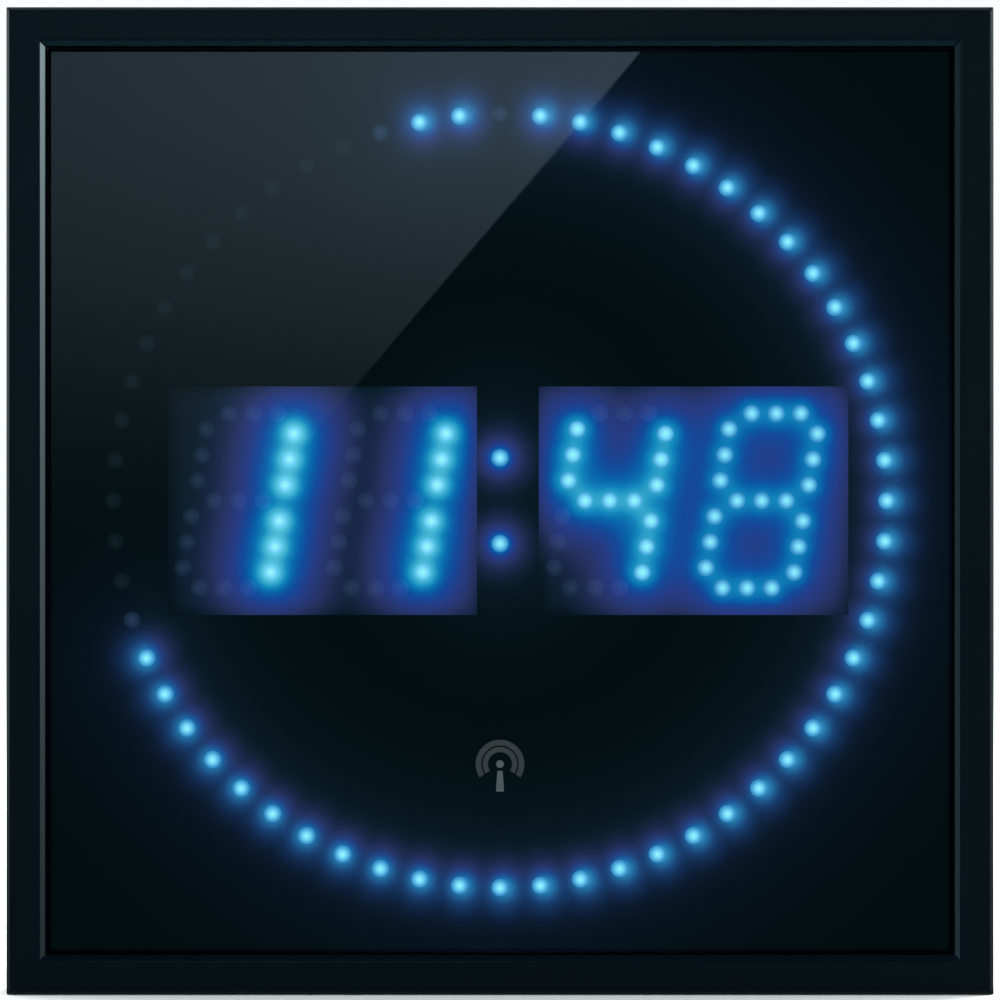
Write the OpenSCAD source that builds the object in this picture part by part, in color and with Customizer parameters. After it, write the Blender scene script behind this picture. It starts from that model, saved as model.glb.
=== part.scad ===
// Square wall clock with a ring of sixty blue lights and four dotted digits.
// Every piece is modelled lying on its back: x to the right, y up, z away from the wall.
// on_wall() then stands it up, so the finished clock has +Z up and its front facing -Y,
// with the origin at the centre of the flat back that lies against the wall.

/* [Lights] */
// Diameter of a light's body and dome
led_d = 5; // [3:0.1:5]
// Diameter of the flange at a light's foot
led_flange_d = 5.8; // [5.2:0.1:6.2]
// Thickness of that flange
led_flange_t = 1; // [0.6:0.1:1.5]
// Height of a light from its foot to the tip of its dome
led_h = 8.6; // [7.6:0.1:10]
// Gap between the tips of the lights and the panel
led_tip_gap = 0.6; // [0.3:0.1:2]
// Radial clearance of a light in its hole
led_clear = 0.2; // [0.1:0.05:0.3]
// Number of lights in the seconds ring
ring_count = 60; // [12:12:60]
// Least web between the digit windows and the ring of lights
ring_web = 4.5; // [4:0.5:10]

/* [Digits] */
// Height of a digit between its top and bottom rows
digit_h = 49.6; // [44:0.2:60]
// Width of a digit between its two columns
digit_w = 25.3; // [24:0.1:32]
// Distance between the two digits of a pair
digit_pitch = 43.2; // [41:0.2:50]
// Distance between the two middle digits, either side of the colon
digit_gap = 62.4; // [60:0.2:70]
// Lean of the digits to the right, in degrees
digit_lean = 9.5; // [0:0.5:12]
// Lights in each segment
segment_count = 3; // [2:1:3]
// Distance from a row's end light to the digit's column line
row_inset = 5.65; // [5:0.05:6]
// Distance from a column's end light to the row line
column_inset = 5.1; // [4.6:0.1:5.6]
// Rise of the left columns and drop of the right ones
column_stagger = 0.65; // [0:0.05:0.8]
// Distance between the two colon lights
colon_pitch = 24.4; // [12:0.2:34]

/* [Digit housings] */
// Room inside a housing, left of its lights
housing_room_left = 0.3; // [0.2:0.1:4]
// Room inside a housing, right of its lights, where a point could light
housing_room_right = 4.8; // [0.2:0.1:6]
// Room inside a housing, above and below its lights
housing_room_y = 3.8; // [2:0.1:6]
// Wall and face thickness of a housing
housing_t = 1; // [0.8:0.1:1.5]
// Diameter of a housing's locating pegs
peg_d = 2; // [1.5:0.1:3]
// Distance of a peg from the housing's edges
peg_inset = 3; // [2.5:0.1:3.5]
// Radial clearance of a peg in the circuit board
peg_clear = 0.1; // [0.05:0.05:0.2]

/* [Front] */
// Distance from the ring of lights to the edge of the case
surround_w = 30; // [28:0.5:45]
// Width of the frame's flat border
border_w = 9.4; // [6:0.2:11]
// Width of the bevel inside the border
bevel_w = 1.8; // [1:0.1:3]
// Depth of that bevel
bevel_d = 1.1; // [0.5:0.1:2]
// Chamfer along the frame's outer front edge
edge_chamfer = 1; // [0.4:0.1:3]
// Gap between the foot of the bevel and the panel
panel_gap = 0.6; // [0.3:0.1:1]
// Depth of the panel's face below the border
panel_recess = 1.2; // [0.6:0.1:3]
// Thickness of the panel
panel_t = 3; // [2:0.1:5]
// Chamfer along the panel's front edge
panel_chamfer = 0.9; // [0.3:0.1:1.5]
// Thickness of the adhesive tape behind the panel
tape_t = 0.6; // [0.3:0.1:0.6]
// Width of the adhesive tape
tape_w = 11; // [4:0.5:12]
// Thickness of the ledge that carries the panel
ledge_t = 2; // [1.6:0.1:3]
// Distance from the ring of lights to the ledge
window_margin = 6; // [4:0.5:8]

/* [Case] */
// Thickness of the frame's side walls
wall_t = 2.5; // [1.8:0.1:3]
// Room behind the circuit board, up to the rear cover
rear_room = 12.5; // [12:0.5:20]
// Thickness of the rear cover
cover_t = 2.5; // [2.2:0.1:3]
// Distance from the wall to the seam between frame and cover
seam_h = 6; // [5.5:0.1:7]
// Step in from the frame's side to the cover's side at the seam
cover_step = 1; // [0.2:0.1:1.2]
// Slope of the cover's sides, from the seam to its flat back
cover_slope = 6; // [2:0.5:7]
// Thickness of the lip that locates the cover inside the frame
lip_t = 1.5; // [1:0.1:2]
// Height of that lip beyond the seam
lip_h = 3; // [1.5:0.5:5]
// Clearance between the lip and the frame's wall
lip_clear = 0.3; // [0.1:0.05:0.5]

/* [Mask and board] */
// Thickness of the black mask plate
mask_t = 1.5; // [1:0.1:2]
// Overlap of the mask behind the ledge
mask_overlap = 5; // [3:0.5:7]
// Clearance of the mask round the housings and posts
mask_clear = 0.3; // [0.2:0.05:0.5]
// Thickness of the mask's rim rib
rib_t = 1.5; // [1:0.1:2]
// Thickness of the circuit board
board_t = 1.6; // [1:0.1:2]
// Distance of the board's screws from its edges
board_hole_inset = 11; // [9:0.5:16]
// Diameter of the posts that carry the board
board_post_d = 7; // [6:0.5:9]

/* [Screws] */
// Diameter of a screw's shank
screw_d = 2.9; // [2.5:0.1:3.5]
// Diameter of a screw's head
screw_head_d = 5.6; // [5:0.1:6.2]
// Height of a screw's head
screw_head_h = 2; // [1.6:0.1:2.2]
// Length of a case screw below its head
case_screw_l = 12; // [8:0.5:14]
// Length of a board screw below its head
board_screw_l = 6; // [5:0.5:6.5]
// Length of the cross cut into a screw's head
recess_l = 3.4; // [2.4:0.1:4.4]
// Width of that cross
recess_w = 0.7; // [0.4:0.1:1]
// Depth of that cross
recess_depth = 1; // [0.5:0.1:1.3]
// Diametral clearance of a screw in its hole
screw_clear = 0.5; // [0.3:0.1:0.8]
// Diametral clearance of a screw in its pilot hole
pilot_clear = 0.1; // [0.05:0.05:0.2]
// Diameter of the posts that take the case screws
case_post_d = 8; // [7:0.5:9]
// Gap between a case post and the mask
post_gap = 2.5; // [1:0.5:3]
// Depth of a case screw's head below the flat back
screw_sink = 0.4; // [0.2:0.1:0.6]

/* [Hangers] */
// Distance between the two keyholes
hanger_pitch = 140; // [120:2:170]
// Distance from the top of the case to the middle of the keyholes' entries
hanger_drop = 44; // [42:1:60]
// Diameter of a keyhole's entry
hanger_d = 9; // [8:0.5:10]
// Width of a keyhole's slot
hanger_slot_w = 5; // [4:0.5:5.5]
// Rise of the slot above the entry
hanger_rise = 10; // [8:0.5:14]
// Depth of the pocket behind a keyhole
hanger_pocket_h = 6; // [4:0.5:7]
// Wall thickness of the pockets moulded into the cover
pocket_t = 1.5; // [1:0.1:2]

/* [Buttons] */
// Distance between neighbouring buttons
button_pitch = 18; // [16:0.5:22]
// Place of the first button, left and right of the middle
button_x = -95; // [-100:1:-90]
// Height of the row of buttons above the middle
button_y = 35; // [20:1:45]
// Diameter of a button
button_d = 9; // [6:0.5:11]
// Radial clearance of a button in its hole
button_clear = 0.3; // [0.2:0.05:0.5]
// Travel of a button
button_travel = 0.8; // [0.3:0.1:1]
// Depth of the dish round the buttons
dish_depth = 1.2; // [1:0.1:1.6]
// Margin of the dish round a button
dish_margin = 3.5; // [2:0.5:5]
// Depth of a button's face below the flat back
button_sink = 0.4; // [0.2:0.1:0.8]
// Width of the flange that keeps a button in its hole
button_flange_w = 1.8; // [1:0.1:2.5]
// Thickness of that flange
button_flange_t = 1.2; // [0.8:0.1:1.6]
// Gap between that flange and the cover
button_gap = 0.15; // [0.05:0.05:0.3]
// Diameter of a button's stem
stem_d = 5; // [4:0.5:5.5]
// Depth of the sign cut into a button's face
sign_depth = 0.3; // [0.1:0.1:0.5]
// Width of the lines of that sign
sign_w = 0.9; // [0.5:0.1:1.2]
// Size of that sign
sign_size = 4.4; // [3:0.2:5]

/* [Switches] */
// Width of a switch
switch_w = 6; // [5.5:0.5:8]
// Height of a switch's body
switch_body_h = 3.5; // [3.3:0.1:4]
// Height of a switch to the tip of its plunger
switch_h = 6; // [5.5:0.1:6.4]
// Diameter of a switch's plunger
plunger_d = 3.4; // [2.5:0.1:4]
// Radial clearance of the plunger in its switch
plunger_clear = 0.15; // [0.05:0.05:0.25]
// Length of the plunger inside the switch
plunger_inside = 0.8; // [0.5:0.1:1.2]

/* [Power inlet] */
// Width of the power jack
jack_w = 9; // [8:0.5:12]
// Length of the power jack
jack_l = 14.4; // [13:0.2:16]
// Height of the power jack
jack_h = 11; // [10.5:0.1:11.5]
// Height of the jack's bore above the board
jack_axis_h = 6.5; // [6:0.1:7]
// Diameter of the jack's bore
jack_bore_d = 6.4; // [6:0.1:6.6]
// Depth of the jack's bore
jack_bore_l = 9.5; // [8:0.5:11]
// Diameter of the jack's centre pin
jack_pin_d = 2.1; // [1.6:0.1:2.5]
// Length of the pin held in the jack's back
jack_pin_root = 2; // [1:0.5:2]
// Depth of the pin's tip inside the jack's mouth
jack_pin_sink = 1; // [0.5:0.5:2]
// Radial clearance of the hole in the cover in front of the jack
jack_hole_clear = 0.5; // [0.3:0.1:1]
// Distance from the bottom of the case to the jack's mouth
jack_rise = 45.6; // [40:0.2:60]
// Width of the pocket that the plug lies in
plug_pocket_w = 15; // [12:0.5:18]
// Distance from the axis of the plug to the floor of its pocket
plug_room = 5.5; // [5:0.1:5.5]
// Thickness of that floor
plug_floor_t = 0.8; // [0.6:0.1:0.9]
// Distance from the edge of the flat back to the plug pocket
plug_edge = 5; // [4:0.5:10]
// Width of the notch where the cord leaves
cord_notch_w = 7; // [5:0.5:9]
// Depth of that notch
cord_notch_h = 5; // [4.5:0.1:5.2]

/* [Battery] */
// Diameter of the coin cell
cell_d = 20; // [16:0.5:24]
// Thickness of the coin cell
cell_t = 3.2; // [2:0.1:3.4]
// Clearance between the cell and its well
cell_clear = 0.4; // [0.4:0.05:0.8]
// Thickness of the contact strips
contact_t = 0.3; // [0.2:0.05:0.35]
// Width of the contact strips
contact_w = 4; // [3:0.5:6]
// Clearance of a contact strip in its slot
contact_clear = 0.2; // [0.1:0.05:0.3]
// Place of the battery door, left and right of the middle
door_x = 70; // [55:1:80]
// Place of the battery door, above or below the middle
door_y = -70; // [-80:1:-55]
// Diameter of the battery door
door_d = 26.4; // [26:0.2:32]
// Radial clearance of the door in its hole
door_clear = 0.3; // [0.2:0.05:0.5]
// Depth of the door's face below the flat back
door_sink = 0.2; // [0.1:0.1:0.5]
// Reach of the door's locking lugs
lug_reach = 2.2; // [1.5:0.1:3]
// Thickness of a lug
lug_t = 1.3; // [1:0.1:1.6]
// Gap between a lug and what it slides past
lug_gap = 0.4; // [0.2:0.1:0.5]
// Number of lugs
lug_count = 3; // [2:1:4]
// Width of a lug, in degrees
lug_angle = 24; // [15:1:28]
// Extra width of the notches that let the lugs in, in degrees
notch_play = 6; // [3:1:8]
// Turn of the door from locked to open, in degrees
door_turn = 45; // [40:1:50]
// Length of the coin slot across the door
coin_slot_l = 15; // [10:0.5:20]
// Width of the coin slot
coin_slot_w = 2.4; // [1.6:0.1:3]
// Depth of the coin slot
coin_slot_depth = 1.2; // [0.8:0.1:1.6]

/* [Radio receiver] */
// Diameter of the aerial's rod
rod_d = 8; // [6:0.5:9]
// Length of the aerial's rod
rod_l = 60; // [50:1:66]
// Distance from the aerial's axis to the top edge of the board
rod_drop = 9; // [8:0.5:20]
// Height of the aerial's axis above the board
rod_h = 6; // [5.5:0.1:6.5]
// Length of the aerial's winding
coil_l = 24; // [16:1:28]
// Thickness of the aerial's winding
coil_t = 1.2; // [0.6:0.1:1.2]
// Distance between the aerial's two holders
holder_pitch = 44; // [40:1:48]
// Thickness of a holder
holder_t = 5; // [3:0.5:6]
// Clearance between the rod and what goes round it
rod_clear = 0.1; // [0.05:0.05:0.2]
// Length of the receiver board
receiver_l = 18; // [16:0.5:20]
// Width of the receiver board
receiver_w = 14; // [12:0.5:16]
// Thickness of the receiver board
receiver_t = 1; // [0.8:0.1:1.6]
// Height of the receiver board above the main board
receiver_h = 3; // [2:0.5:4]
// Gap between the end of the rod and the receiver board
receiver_gap = 4; // [2:0.5:6]
// Distance between the receiver's pins
pin_pitch = 2.54; // [2:0.02:2.54]
// Width of a pin
pin_w = 0.64; // [0.5:0.02:0.8]
// Number of pins
pin_count = 4; // [2:1:5]
// Width and length of the receiver's chip
receiver_chip_w = 7; // [4:0.5:10]
// Height of the receiver's chip
receiver_chip_h = 1.6; // [1:0.1:2]

/* [Components] */
// Width and length of the controller chip
controller_w = 12; // [8:0.5:16]
// Height of the controller chip
controller_h = 1.6; // [1:0.1:2.5]
// Length of a light driver chip
driver_l = 18; // [12:0.5:20]
// Width of a light driver chip
driver_w = 7.5; // [5:0.5:9]
// Height of a light driver chip
driver_h = 2.4; // [1.5:0.1:3]
// Distance of the driver chips from the middle, left and right
driver_x = 44; // [38:1:50]
// Distance of the driver chips from the middle, up and down
driver_y = 62; // [60:1:70]
// Length of a resistor block
resistor_l = 6.4; // [4:0.2:8]
// Width of a resistor block
resistor_w = 3.2; // [2:0.2:4]
// Height of a resistor block
resistor_h = 0.8; // [0.5:0.1:1.2]
// Place of the row of resistor blocks, above or below the middle
resistor_y = -31; // [-40:1:-20]
// Distance between resistor blocks
resistor_pitch = 10; // [9:0.5:12]
// Number of resistor blocks
resistor_count = 8; // [4:1:10]
// Diameter of a filter capacitor
capacitor_d = 8; // [5:0.5:10]
// Height of a filter capacitor
capacitor_h = 10.5; // [8:0.5:11.5]
// Distance of the filter capacitors from the jack's axis
capacitor_x = 18; // [16:0.5:24]
// Width and length of the voltage regulator
regulator_w = 6.6; // [5:0.2:9]
// Gap between the power jack and the voltage regulator
regulator_gap = 4; // [2:0.5:8]
// Height of the voltage regulator
regulator_h = 2.3; // [1.5:0.1:3]
// Length of the crystal's can
crystal_l = 11; // [8:0.5:12]
// Gap between the controller chip and the crystal
crystal_gap = 4; // [2:0.5:8]
// Width of the crystal's can
crystal_w = 4.6; // [3:0.1:5]
// Height of the crystal's can
crystal_h = 3.5; // [2.5:0.1:4]

/* [Vents] */
// Number of vent slots in each field
vent_count = 8; // [3:1:10]
// Distance between vent slots
vent_pitch = 6; // [5:0.5:7]
// Width of a vent slot
vent_w = 2; // [1:0.1:3]
// Length of a vent slot
vent_l = 30; // [15:1:36]
// Place of the vent fields, left and right of the middle
vent_x = 66; // [60:1:72]
// Place of the upper vent field, above the middle
vent_y = 20; // [15:1:28]

/* [Hidden] */
$fn = 64;
// Overshoot of a cut past the face that it opens
cut = 0.5;

// Digits: half sizes and the pitch of their lights
lean = tan(digit_lean);
row_pitch = (digit_w - 2 * row_inset) / (segment_count - 1);
column_pitch = (digit_h / 2 - 2 * column_inset) / (segment_count - 1);
pair_x = (digit_gap + digit_pitch) / 2;
column_top = digit_h / 2 - column_inset;
lights_half_x = digit_pitch / 2 + digit_w / 2 + lean * column_top + led_flange_d / 2;
lights_half_y = digit_h / 2 + led_flange_d / 2;
housing_w = 2 * (lights_half_x + housing_t) + housing_room_left + housing_room_right;
housing_h = 2 * (lights_half_y + housing_room_y + housing_t);
housing_shift = (housing_room_right - housing_room_left) / 2;

// Ring of lights, rounded up to a whole millimetre outside the digit windows
window_corner_x = pair_x + housing_shift + housing_w / 2 + mask_clear;
window_corner_y = housing_h / 2 + mask_clear;
ring_r = ceil(norm([window_corner_x, window_corner_y]) + ring_web);

// Half widths, from the case inwards
case_hw = ring_r + surround_w;
bevel_hw = case_hw - border_w;
panel_pocket_hw = bevel_hw - bevel_w;
panel_hw = panel_pocket_hw - panel_gap;
cavity_hw = case_hw - wall_t;
window_hw = ring_r + window_margin;
mask_hw = window_hw + mask_overlap;
case_post_c = mask_hw + post_gap + case_post_d / 2;
board_hole_c = mask_hw - board_hole_inset;
cover_hw = case_hw - cover_step;
back_hw = cover_hw - cover_slope;

// Heights above the wall, from the board to the front and back to the cover
board_back_h = cover_t + rear_room;
board_front_h = board_back_h + board_t;
panel_back_h = board_front_h + led_h + led_tip_gap;
panel_front_h = panel_back_h + panel_t;
case_d = panel_front_h + panel_recess;
ledge_front_h = panel_back_h - tape_t;
ledge_back_h = ledge_front_h - ledge_t;
mask_back_h = ledge_back_h - mask_t;

// Screws
case_seat_h = screw_sink + screw_head_h;
case_boss_h = case_seat_h + cover_t;
case_boss_d = screw_head_d + 2 * screw_clear + 2 * pocket_t;
pilot_d = screw_d + pilot_clear;
board_pilot_l = board_screw_l - board_t + cut;
case_pilot_l = case_screw_l - cover_t + cut;
case_posts = concat([for (x = [-1, 1], y = [-1, 1]) [x, y]], [[-1, 0], [1, 0]]) * case_post_c;
board_posts = [for (x = [-1, 1], y = [-1, 1]) [x, y]] * board_hole_c;
pad_inner = board_hole_c - board_post_d / 2 - pocket_t;

// Buttons, from the face inwards
button_pad_h = dish_depth + cover_t;
button_flange_h = button_pad_h + button_gap;
button_stem_h = button_flange_h + button_flange_t;
plunger_tip_h = board_back_h - switch_h;
button_places = [for (i = [0:3]) [button_x + i * button_pitch, button_y]];

// Power inlet
jack_mouth_y = jack_rise - case_hw;
jack_axis_z = board_back_h - jack_axis_h;
plug_floor_h = jack_axis_z + plug_room;
plug_bottom_y = plug_edge - back_hw;
plug_top_y = jack_mouth_y - pocket_t;

// Battery well, from the door inwards
door_r = door_d / 2;
door_hole_r = door_r + door_clear;
lug_r = door_r + lug_reach;
lug_h = cover_t + lug_gap;
groove_r = lug_r + lug_gap;
notch_r = lug_r + lug_gap / 2;
shelf_h = lug_h + lug_t + lug_gap;
well_r = cell_d / 2 + cell_clear;
cell_h = shelf_h + lug_gap;
contact_h = cell_h + cell_t;
well_floor_h = contact_h + contact_t;
well_back_h = well_floor_h + pocket_t;
notch_angle = lug_angle + notch_play;

// Aerial and receiver
rod_y = mask_hw - rod_drop;
rod_z = board_back_h - rod_h;
receiver_x = rod_l / 2 + receiver_gap + receiver_l / 2;

// Keyholes
hanger_y = case_hw - hanger_drop;
hanger_places = [for (side = [-1, 1]) [side * hanger_pitch / 2, hanger_y]];
hanger_inner_w = hanger_d + 2 * pocket_t;
hanger_inner_l = hanger_d + hanger_rise + 2 * pocket_t;
hanger_middle = (hanger_rise + hanger_slot_w / 2 - hanger_d / 2) / 2;

// The lights of one digit: three rows, then the upper and lower halves of two columns
function row_places() = [
  for (y = [digit_h / 2, 0, -digit_h / 2], i = [0:segment_count - 1])
    [-digit_w / 2 + row_inset + i * row_pitch + lean * y, y]
];
function column_places() = [
  for (side = [-1, 1], half = [-1, 1], i = [0:segment_count - 1])
    let (y = half * (column_inset + i * column_pitch) - side * column_stagger)
      [side * digit_w / 2 + lean * y, y]
];
function digit_places(x) = [for (p = concat(row_places(), column_places())) p + [x, 0]];
function pair_places(x) = concat(digit_places(x - digit_pitch / 2), digit_places(x + digit_pitch / 2));
function ring_places() = [
  for (i = [0:ring_count - 1])
    let (turn = i * 360 / ring_count)
      ring_r * [sin(turn), cos(turn)]
];
function colon_places() = [[0, colon_pitch / 2], [0, -colon_pitch / 2]];

module on_wall() { rotate([90, 0, 0]) children(); }
module at(places, z) { for (p = places) translate([p[0], p[1], z]) children(); }

// A block centred on its foot
module block(w, l, h) { translate([-w / 2, -l / 2, 0]) cube([w, l, h]); }

// A square solid whose half width follows a profile of [half width, height] points
module square_solid(profile) {
  last = len(profile) - 1;
  outline = concat(profile, [for (i = [last:-1:0]) [-profile[i][0], profile[i][1]]]);
  reach = max([for (p = profile) p[0]]) + cut;
  intersection() {
    rotate([90, 0, 0]) translate([0, 0, -reach]) linear_extrude(2 * reach) polygon(outline);
    rotate([90, 0, 90]) translate([0, 0, -reach]) linear_extrude(2 * reach) polygon(outline);
  }
}

// A slot with round ends, from one place to another along x
module slot_x(l, w, h) {
  block(l - w, w, h);
  for (side = [-1, 1]) translate([side * (l - w) / 2, 0, 0]) cylinder(d = w, h = h);
}

// A part of a ring, centred on an angle
module ring_part(r_in, r_out, angle, wide, h) {
  rotate([0, 0, angle - wide / 2]) rotate_extrude(angle = wide)
    translate([r_in, 0]) square([r_out - r_in, h]);
}

// Front: frame, panel and tape

module frame_post(place, foot_h) {
  along_wall = place[1] == 0;
  translate([place[0], place[1], foot_h]) cylinder(d = case_post_d, h = ledge_front_h - foot_h);
  web_h = seam_h + lip_h + cut;
  web_end = cavity_hw + wall_t / 2;
  side_x = sign(place[0]);
  side_y = sign(place[1]);
  translate([min(place[0], side_x * web_end), place[1] - pocket_t / 2, web_h])
    cube([abs(web_end - abs(place[0])), pocket_t, ledge_front_h - web_h]);
  if (!along_wall)
    translate([place[0] - pocket_t / 2, min(place[1], side_y * web_end), web_h])
      cube([pocket_t, abs(web_end - abs(place[1])), ledge_front_h - web_h]);
}

module front_frame() {
  color([0.03, 0.06, 0.06]) on_wall() difference() {
    union() {
      difference() {
        square_solid([[case_hw, seam_h], [case_hw, case_d - edge_chamfer], [case_hw - edge_chamfer, case_d]]);
        square_solid([[panel_pocket_hw, ledge_front_h], [panel_pocket_hw, case_d - bevel_d],
          [bevel_hw, case_d], [bevel_hw, case_d + cut]]);
        square_solid([[cavity_hw, seam_h - cut], [cavity_hw, ledge_back_h]]);
        square_solid([[window_hw, seam_h], [window_hw, case_d]]);
      }
      for (x = [-1, 1], y = [-1, 1])
        translate([x * (pad_inner + cavity_hw) / 2, y * (pad_inner + cavity_hw) / 2, ledge_back_h])
          block(cavity_hw - pad_inner, cavity_hw - pad_inner, ledge_t);
      at(board_posts, board_front_h) cylinder(d = board_post_d, h = ledge_front_h - board_front_h);
      for (p = case_posts) frame_post(p, case_boss_h);
    }
    at(board_posts, board_front_h - cut) cylinder(d = pilot_d, h = board_pilot_l + cut);
    at(case_posts, case_boss_h - cut) cylinder(d = pilot_d, h = case_pilot_l + cut);
  }
}

module front_panel() {
  color([0.02, 0.03, 0.04, 0.6]) on_wall()
    square_solid([[panel_hw, panel_back_h], [panel_hw, panel_front_h - panel_chamfer],
      [panel_hw - panel_chamfer, panel_front_h]]);
}

module panel_tape() {
  tape_hw = panel_hw - panel_chamfer;
  color("black") on_wall() translate([0, 0, ledge_front_h]) difference() {
    block(2 * tape_hw, 2 * tape_hw, tape_t);
    translate([0, 0, -cut]) block(2 * (tape_hw - tape_w), 2 * (tape_hw - tape_w), tape_t + 2 * cut);
  }
}

// Mask, digit housings and lights

module light_holes(places, h) {
  at(places, h) cylinder(d = led_d + 2 * led_clear, h = ledge_back_h - mask_back_h + housing_t + 2 * cut);
}

module light_mask() {
  color([0.02, 0.02, 0.03]) on_wall() difference() {
    translate([0, 0, board_front_h]) block(2 * mask_hw, 2 * mask_hw, ledge_back_h - board_front_h);
    translate([0, 0, board_front_h - cut])
      block(2 * (mask_hw - rib_t), 2 * (mask_hw - rib_t), mask_back_h - board_front_h + cut);
    light_holes(concat(ring_places(), colon_places()), mask_back_h - cut);
    at(board_posts, mask_back_h - cut) cylinder(d = board_post_d + 2 * mask_clear, h = mask_t + 2 * cut);
    for (side = [-1, 1])
      translate([side * pair_x + housing_shift, 0, mask_back_h - cut])
        block(housing_w + 2 * mask_clear, housing_h + 2 * mask_clear, mask_t + 2 * cut);
  }
}

function peg_places(x) = [
  for (side = [-1, 1])
    [x + housing_shift + side * (housing_w / 2 - peg_inset), side * (housing_h / 2 - peg_inset)]
];

module digit_housing(x) {
  inner_h = ledge_back_h - housing_t - board_front_h;
  color([0.03, 0.04, 0.07]) on_wall() {
    difference() {
      translate([x + housing_shift, 0, board_front_h]) block(housing_w, housing_h, inner_h + housing_t);
      translate([x + housing_shift, 0, board_front_h - cut])
        block(housing_w - 2 * housing_t, housing_h - 2 * housing_t, inner_h + cut);
      light_holes(pair_places(x), board_front_h + inner_h - cut);
    }
    at(peg_places(x), board_back_h) cylinder(d = peg_d, h = ledge_back_h - housing_t / 2 - board_back_h);
  }
}

module hour_housing() { digit_housing(-pair_x); }
module minute_housing() { digit_housing(pair_x); }

module light() {
  dome_h = led_h - led_d / 2;
  cylinder(d = led_flange_d, h = led_flange_t);
  cylinder(d = led_d, h = dome_h);
  translate([0, 0, dome_h]) sphere(d = led_d);
}

module lights(places) { color([0.5, 0.9, 1]) on_wall() at(places, board_front_h) light(); }
module ring_lights() { lights(ring_places()); }
module hour_tens_lights() { lights(digit_places(-pair_x - digit_pitch / 2)); }
module hour_units_lights() { lights(digit_places(-pair_x + digit_pitch / 2)); }
module minute_tens_lights() { lights(digit_places(pair_x - digit_pitch / 2)); }
module minute_units_lights() { lights(digit_places(pair_x + digit_pitch / 2)); }
module colon_lights() { lights(colon_places()); }

// Circuit board, screws and components

module main_board() {
  color([0.05, 0.2, 0.1]) on_wall() difference() {
    translate([0, 0, board_back_h]) block(2 * mask_hw, 2 * mask_hw, board_t);
    at(board_posts, board_back_h - cut) cylinder(d = screw_d + screw_clear, h = board_t + 2 * cut);
    at(concat(peg_places(-pair_x), peg_places(pair_x)), board_back_h - cut)
      cylinder(d = peg_d + 2 * peg_clear, h = board_t + 2 * cut);
  }
}

// A pan-head screw that points up, with its head below z = 0
module screw(l) {
  difference() {
    translate([0, 0, -screw_head_h]) cylinder(d = screw_head_d, h = screw_head_h);
    for (turn = [0, 90])
      rotate([0, 0, turn]) translate([0, 0, -screw_head_h - cut])
        block(recess_l, recess_w, recess_depth + cut);
  }
  cylinder(d = screw_d, h = l);
}

module board_screws() { color("silver") on_wall() at(board_posts, board_back_h) screw(board_screw_l); }
module case_screws() { color([0.1, 0.1, 0.1]) on_wall() at(case_posts, case_seat_h) screw(case_screw_l); }

// A component that hangs under the board
module under_board(x, y, h) { on_wall() translate([x, y, board_back_h - h]) children(); }

module controller_chip() {
  color([0.1, 0.1, 0.1]) under_board(0, 0, controller_h) block(controller_w, controller_w, controller_h);
}

module driver_chips() {
  color([0.1, 0.1, 0.1])
    for (x = [-1, 1], y = [-1, 1])
      under_board(x * driver_x, y * driver_y, driver_h) block(driver_l, driver_w, driver_h);
}

module resistor_blocks() {
  color([0.15, 0.15, 0.17])
    for (i = [0:resistor_count - 1])
      under_board((i - (resistor_count - 1) / 2) * resistor_pitch, resistor_y, resistor_h)
        block(resistor_w, resistor_l, resistor_h);
}

module filter_capacitors() {
  color([0.2, 0.2, 0.25])
    for (side = [-1, 1])
      under_board(side * capacitor_x, jack_mouth_y + jack_l / 2, capacitor_h)
        cylinder(d = capacitor_d, h = capacitor_h);
}

module voltage_regulator() {
  regulator_y = jack_mouth_y + jack_l + regulator_gap + regulator_w / 2;
  color([0.1, 0.1, 0.1])
    under_board(0, regulator_y, regulator_h) block(regulator_w, regulator_w, regulator_h);
}

module clock_crystal() {
  crystal_x = controller_w / 2 + crystal_gap + crystal_l / 2;
  color("silver") under_board(crystal_x, 0, crystal_h) slot_x(crystal_l, crystal_w, crystal_h);
}

module power_jack() {
  color([0.08, 0.08, 0.08]) on_wall() difference() {
    translate([0, jack_mouth_y + jack_l / 2, board_back_h - jack_h]) block(jack_w, jack_l, jack_h);
    translate([0, jack_mouth_y - cut, jack_axis_z]) rotate([-90, 0, 0])
      cylinder(d = jack_bore_d, h = jack_bore_l + cut);
    translate([0, jack_mouth_y, jack_axis_z]) rotate([-90, 0, 0])
      cylinder(d = jack_pin_d, h = jack_bore_l + jack_pin_root);
  }
}

module power_jack_pin() {
  color("silver") on_wall() translate([0, jack_mouth_y + jack_pin_sink, jack_axis_z]) rotate([-90, 0, 0])
    cylinder(d = jack_pin_d, h = jack_bore_l + jack_pin_root - jack_pin_sink);
}

// Coin cell and its contacts

module coin_cell() {
  color("silver") on_wall() translate([door_x, door_y, cell_h]) cylinder(d = cell_d, h = cell_t);
}

// A strip on the rim of the cell, on the well's right
module cell_plus_contact() {
  strip_x = door_x + cell_d / 2;
  color("gold") on_wall() translate([strip_x, door_y - contact_w / 2, cell_h])
    cube([contact_t, contact_w, board_back_h - cell_h]);
}

// A tongue under the middle of the cell, with a tail to the board on the well's left
module cell_minus_contact() {
  tail_x = door_x - cell_d / 2;
  color("gold") on_wall() translate([tail_x, door_y - contact_w / 2, contact_h]) {
    cube([cell_d / 2 + contact_w, contact_w, contact_t]);
    cube([contact_t, contact_w, board_back_h - contact_h]);
  }
}

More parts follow.
